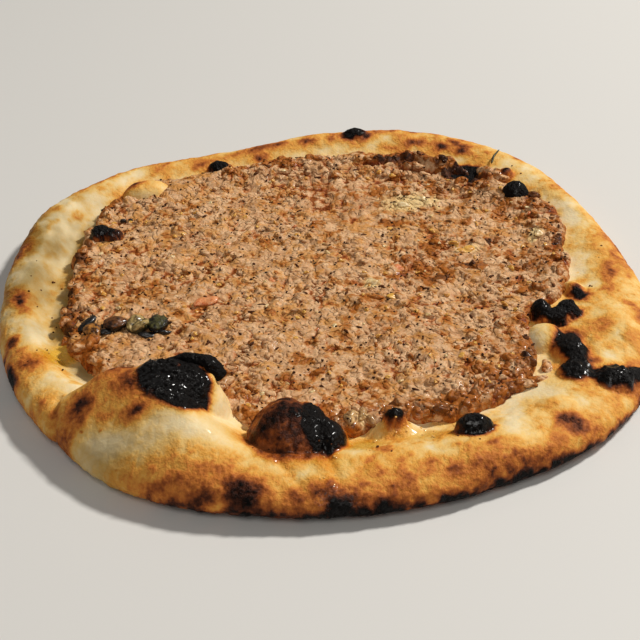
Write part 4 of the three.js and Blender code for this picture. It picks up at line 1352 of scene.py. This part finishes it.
# Beads of oil and loose crumbs on the crust: count, height as a share of length, share sunk, and zones to
# fall in as in oiled without the strength.
drops = {
    "oil_beads": {"count": 110, "height": 0.4, "sunk": 0.5,
                  "zones": [(2, -107.5, 28, 4, -5), (13, -95, 14, 14, 0), (2, -110, 9, 16, 0),
                            (36, -88, 24, 8, 0), (-97, -36, 16, 12, 60), (84, 76, 10, 12, 0)]},
    "crust_crumbs": {"count": 34, "height": 0.6, "sunk": 0.4,
                     "zones": [(-107, 5, 18, 80, 0), (-98, -42, 26, 26, 0), (20, -98, 90, 14, 4),
                               (106, 20, 20, 60, 0), (88, 80, 40, 20, -45)]},
}
dropLength = (0.5, 1.2)  # shortest and longest
dropReach = 128          # their places are drawn out to this far each way
oilSkin = {"Coat Weight": 0.8, "Coat Roughness": 0.03, "Specular IOR Level": 0.6}


def sprinkleCrust(name, kind, finish, draw):
    x, y = draw.uniform(-dropReach, dropReach, (2, kind["count"] * 40))
    inZone = np.min([ellipseReach(x, y, zone) for zone in kind["zones"]], axis=0) < 1
    kept = (insideMeat(x, y) < -1) & inZone
    x, y = x[kept][:kind["count"]], y[kept][:kind["count"]]
    half = draw.uniform(*dropLength, len(x))[:, None] / 2 * [1, 0.85, kind["height"]]
    z = heightOver(crustMap, x, y) + half[:, 2] * (1 - 2 * kind["sunk"]) - 0.1
    yaw = draw.uniform(0, 2 * np.pi, len(x))
    points, faces = blobs(np.stack([x, y, z], -1), half, yaw, 0.1, draw, 0.12, 5, 8)
    makePiece(name, points, faces, finish)


oilFinish = plainFinish("oil_bead", (236, 186, 104), (214, 152, 70), 0.1, 0.002, 0.0001, oilSkin)
sprinkleCrust("oil_beads", drops["oil_beads"], oilFinish, np.random.default_rng(96))
crumbFinish = darkFinishes["dark_slivers"]
sprinkleCrust("crust_crumbs", drops["crust_crumbs"], crumbFinish, np.random.default_rng(97))
print("drops and crumbs sprinkled")


studio = {
    "lens": 72.2, "camera": (-0.00105, -0.4249, 0.2846), "aim": (-0.00105, -0.0077, 0.0), "roll": -0.96,
    "lamps": {  # azimuth right of +Y, height, distance, size, power, colour
        "key": (60, 46, 2.6, 0.34, 68.0, (1.0, 0.97, 0.92)),
        "front": (182, 52, 1.6, 0.9, 6.0, (1.0, 0.97, 0.93)),
    },
    "sky": 0.12,
    "floor": 3.0,
}


def makeFloor():
    mesh = bpy.data.meshes.new("floor")
    far = studio["floor"]
    mesh.from_pydata([(-far, -far, 0), (far, -far, 0), (far, far, 0), (-far, far, 0)], [], [(0, 1, 2, 3)])
    mesh.materials.append(Finish("floor", {"Roughness": 0.6, "Base Color": paint(216, 214, 210)}).material)
    floor = bpy.data.objects.new("floor", mesh)
    floor.location.z = breadLow.z
    bpy.context.scene.collection.objects.link(floor)


def makeLamp(name, azimuth, height, distance, size, power, colour):
    across, up = math.radians(azimuth), math.radians(height)
    back = Vector((math.sin(across) * math.cos(up), math.cos(across) * math.cos(up), math.sin(up)))
    light = bpy.data.lights.new(name, "AREA")
    light.shape = "DISK"
    light.size = size
    light.energy = power
    light.color = colour
    lamp = bpy.data.objects.new(name, light)
    lamp.location = back * distance
    lamp.rotation_mode = "QUATERNION"
    lamp.rotation_quaternion = back.to_track_quat("Z", "Y")
    bpy.context.scene.collection.objects.link(lamp)


def makeSky():
    world = bpy.data.worlds.new("studio")
    world.use_nodes = True
    sky = world.node_tree.nodes["Background"]
    sky.inputs["Color"].default_value = (1.0, 0.98, 0.95, 1.0)
    sky.inputs["Strength"].default_value = studio["sky"]
    bpy.context.scene.world = world


def makeCamera():
    lens = bpy.data.cameras.new("camera")
    lens.lens = studio["lens"]
    lens.sensor_width = 36
    lens.clip_start = 0.01
    camera = bpy.data.objects.new("camera", lens)
    camera.location = studio["camera"]
    sight = Vector(studio["aim"]) - Vector(studio["camera"])
    rolled = Quaternion((0, 0, 1), math.radians(studio["roll"]))
    camera.rotation_mode = "QUATERNION"
    camera.rotation_quaternion = sight.to_track_quat("-Z", "Y") @ rolled
    bpy.context.scene.collection.objects.link(camera)
    bpy.context.scene.camera = camera


makeFloor()
for name, lamp in studio["lamps"].items():
    makeLamp(name, *lamp)
makeSky()
makeCamera()
bpy.context.scene.view_settings.view_transform = "Standard"
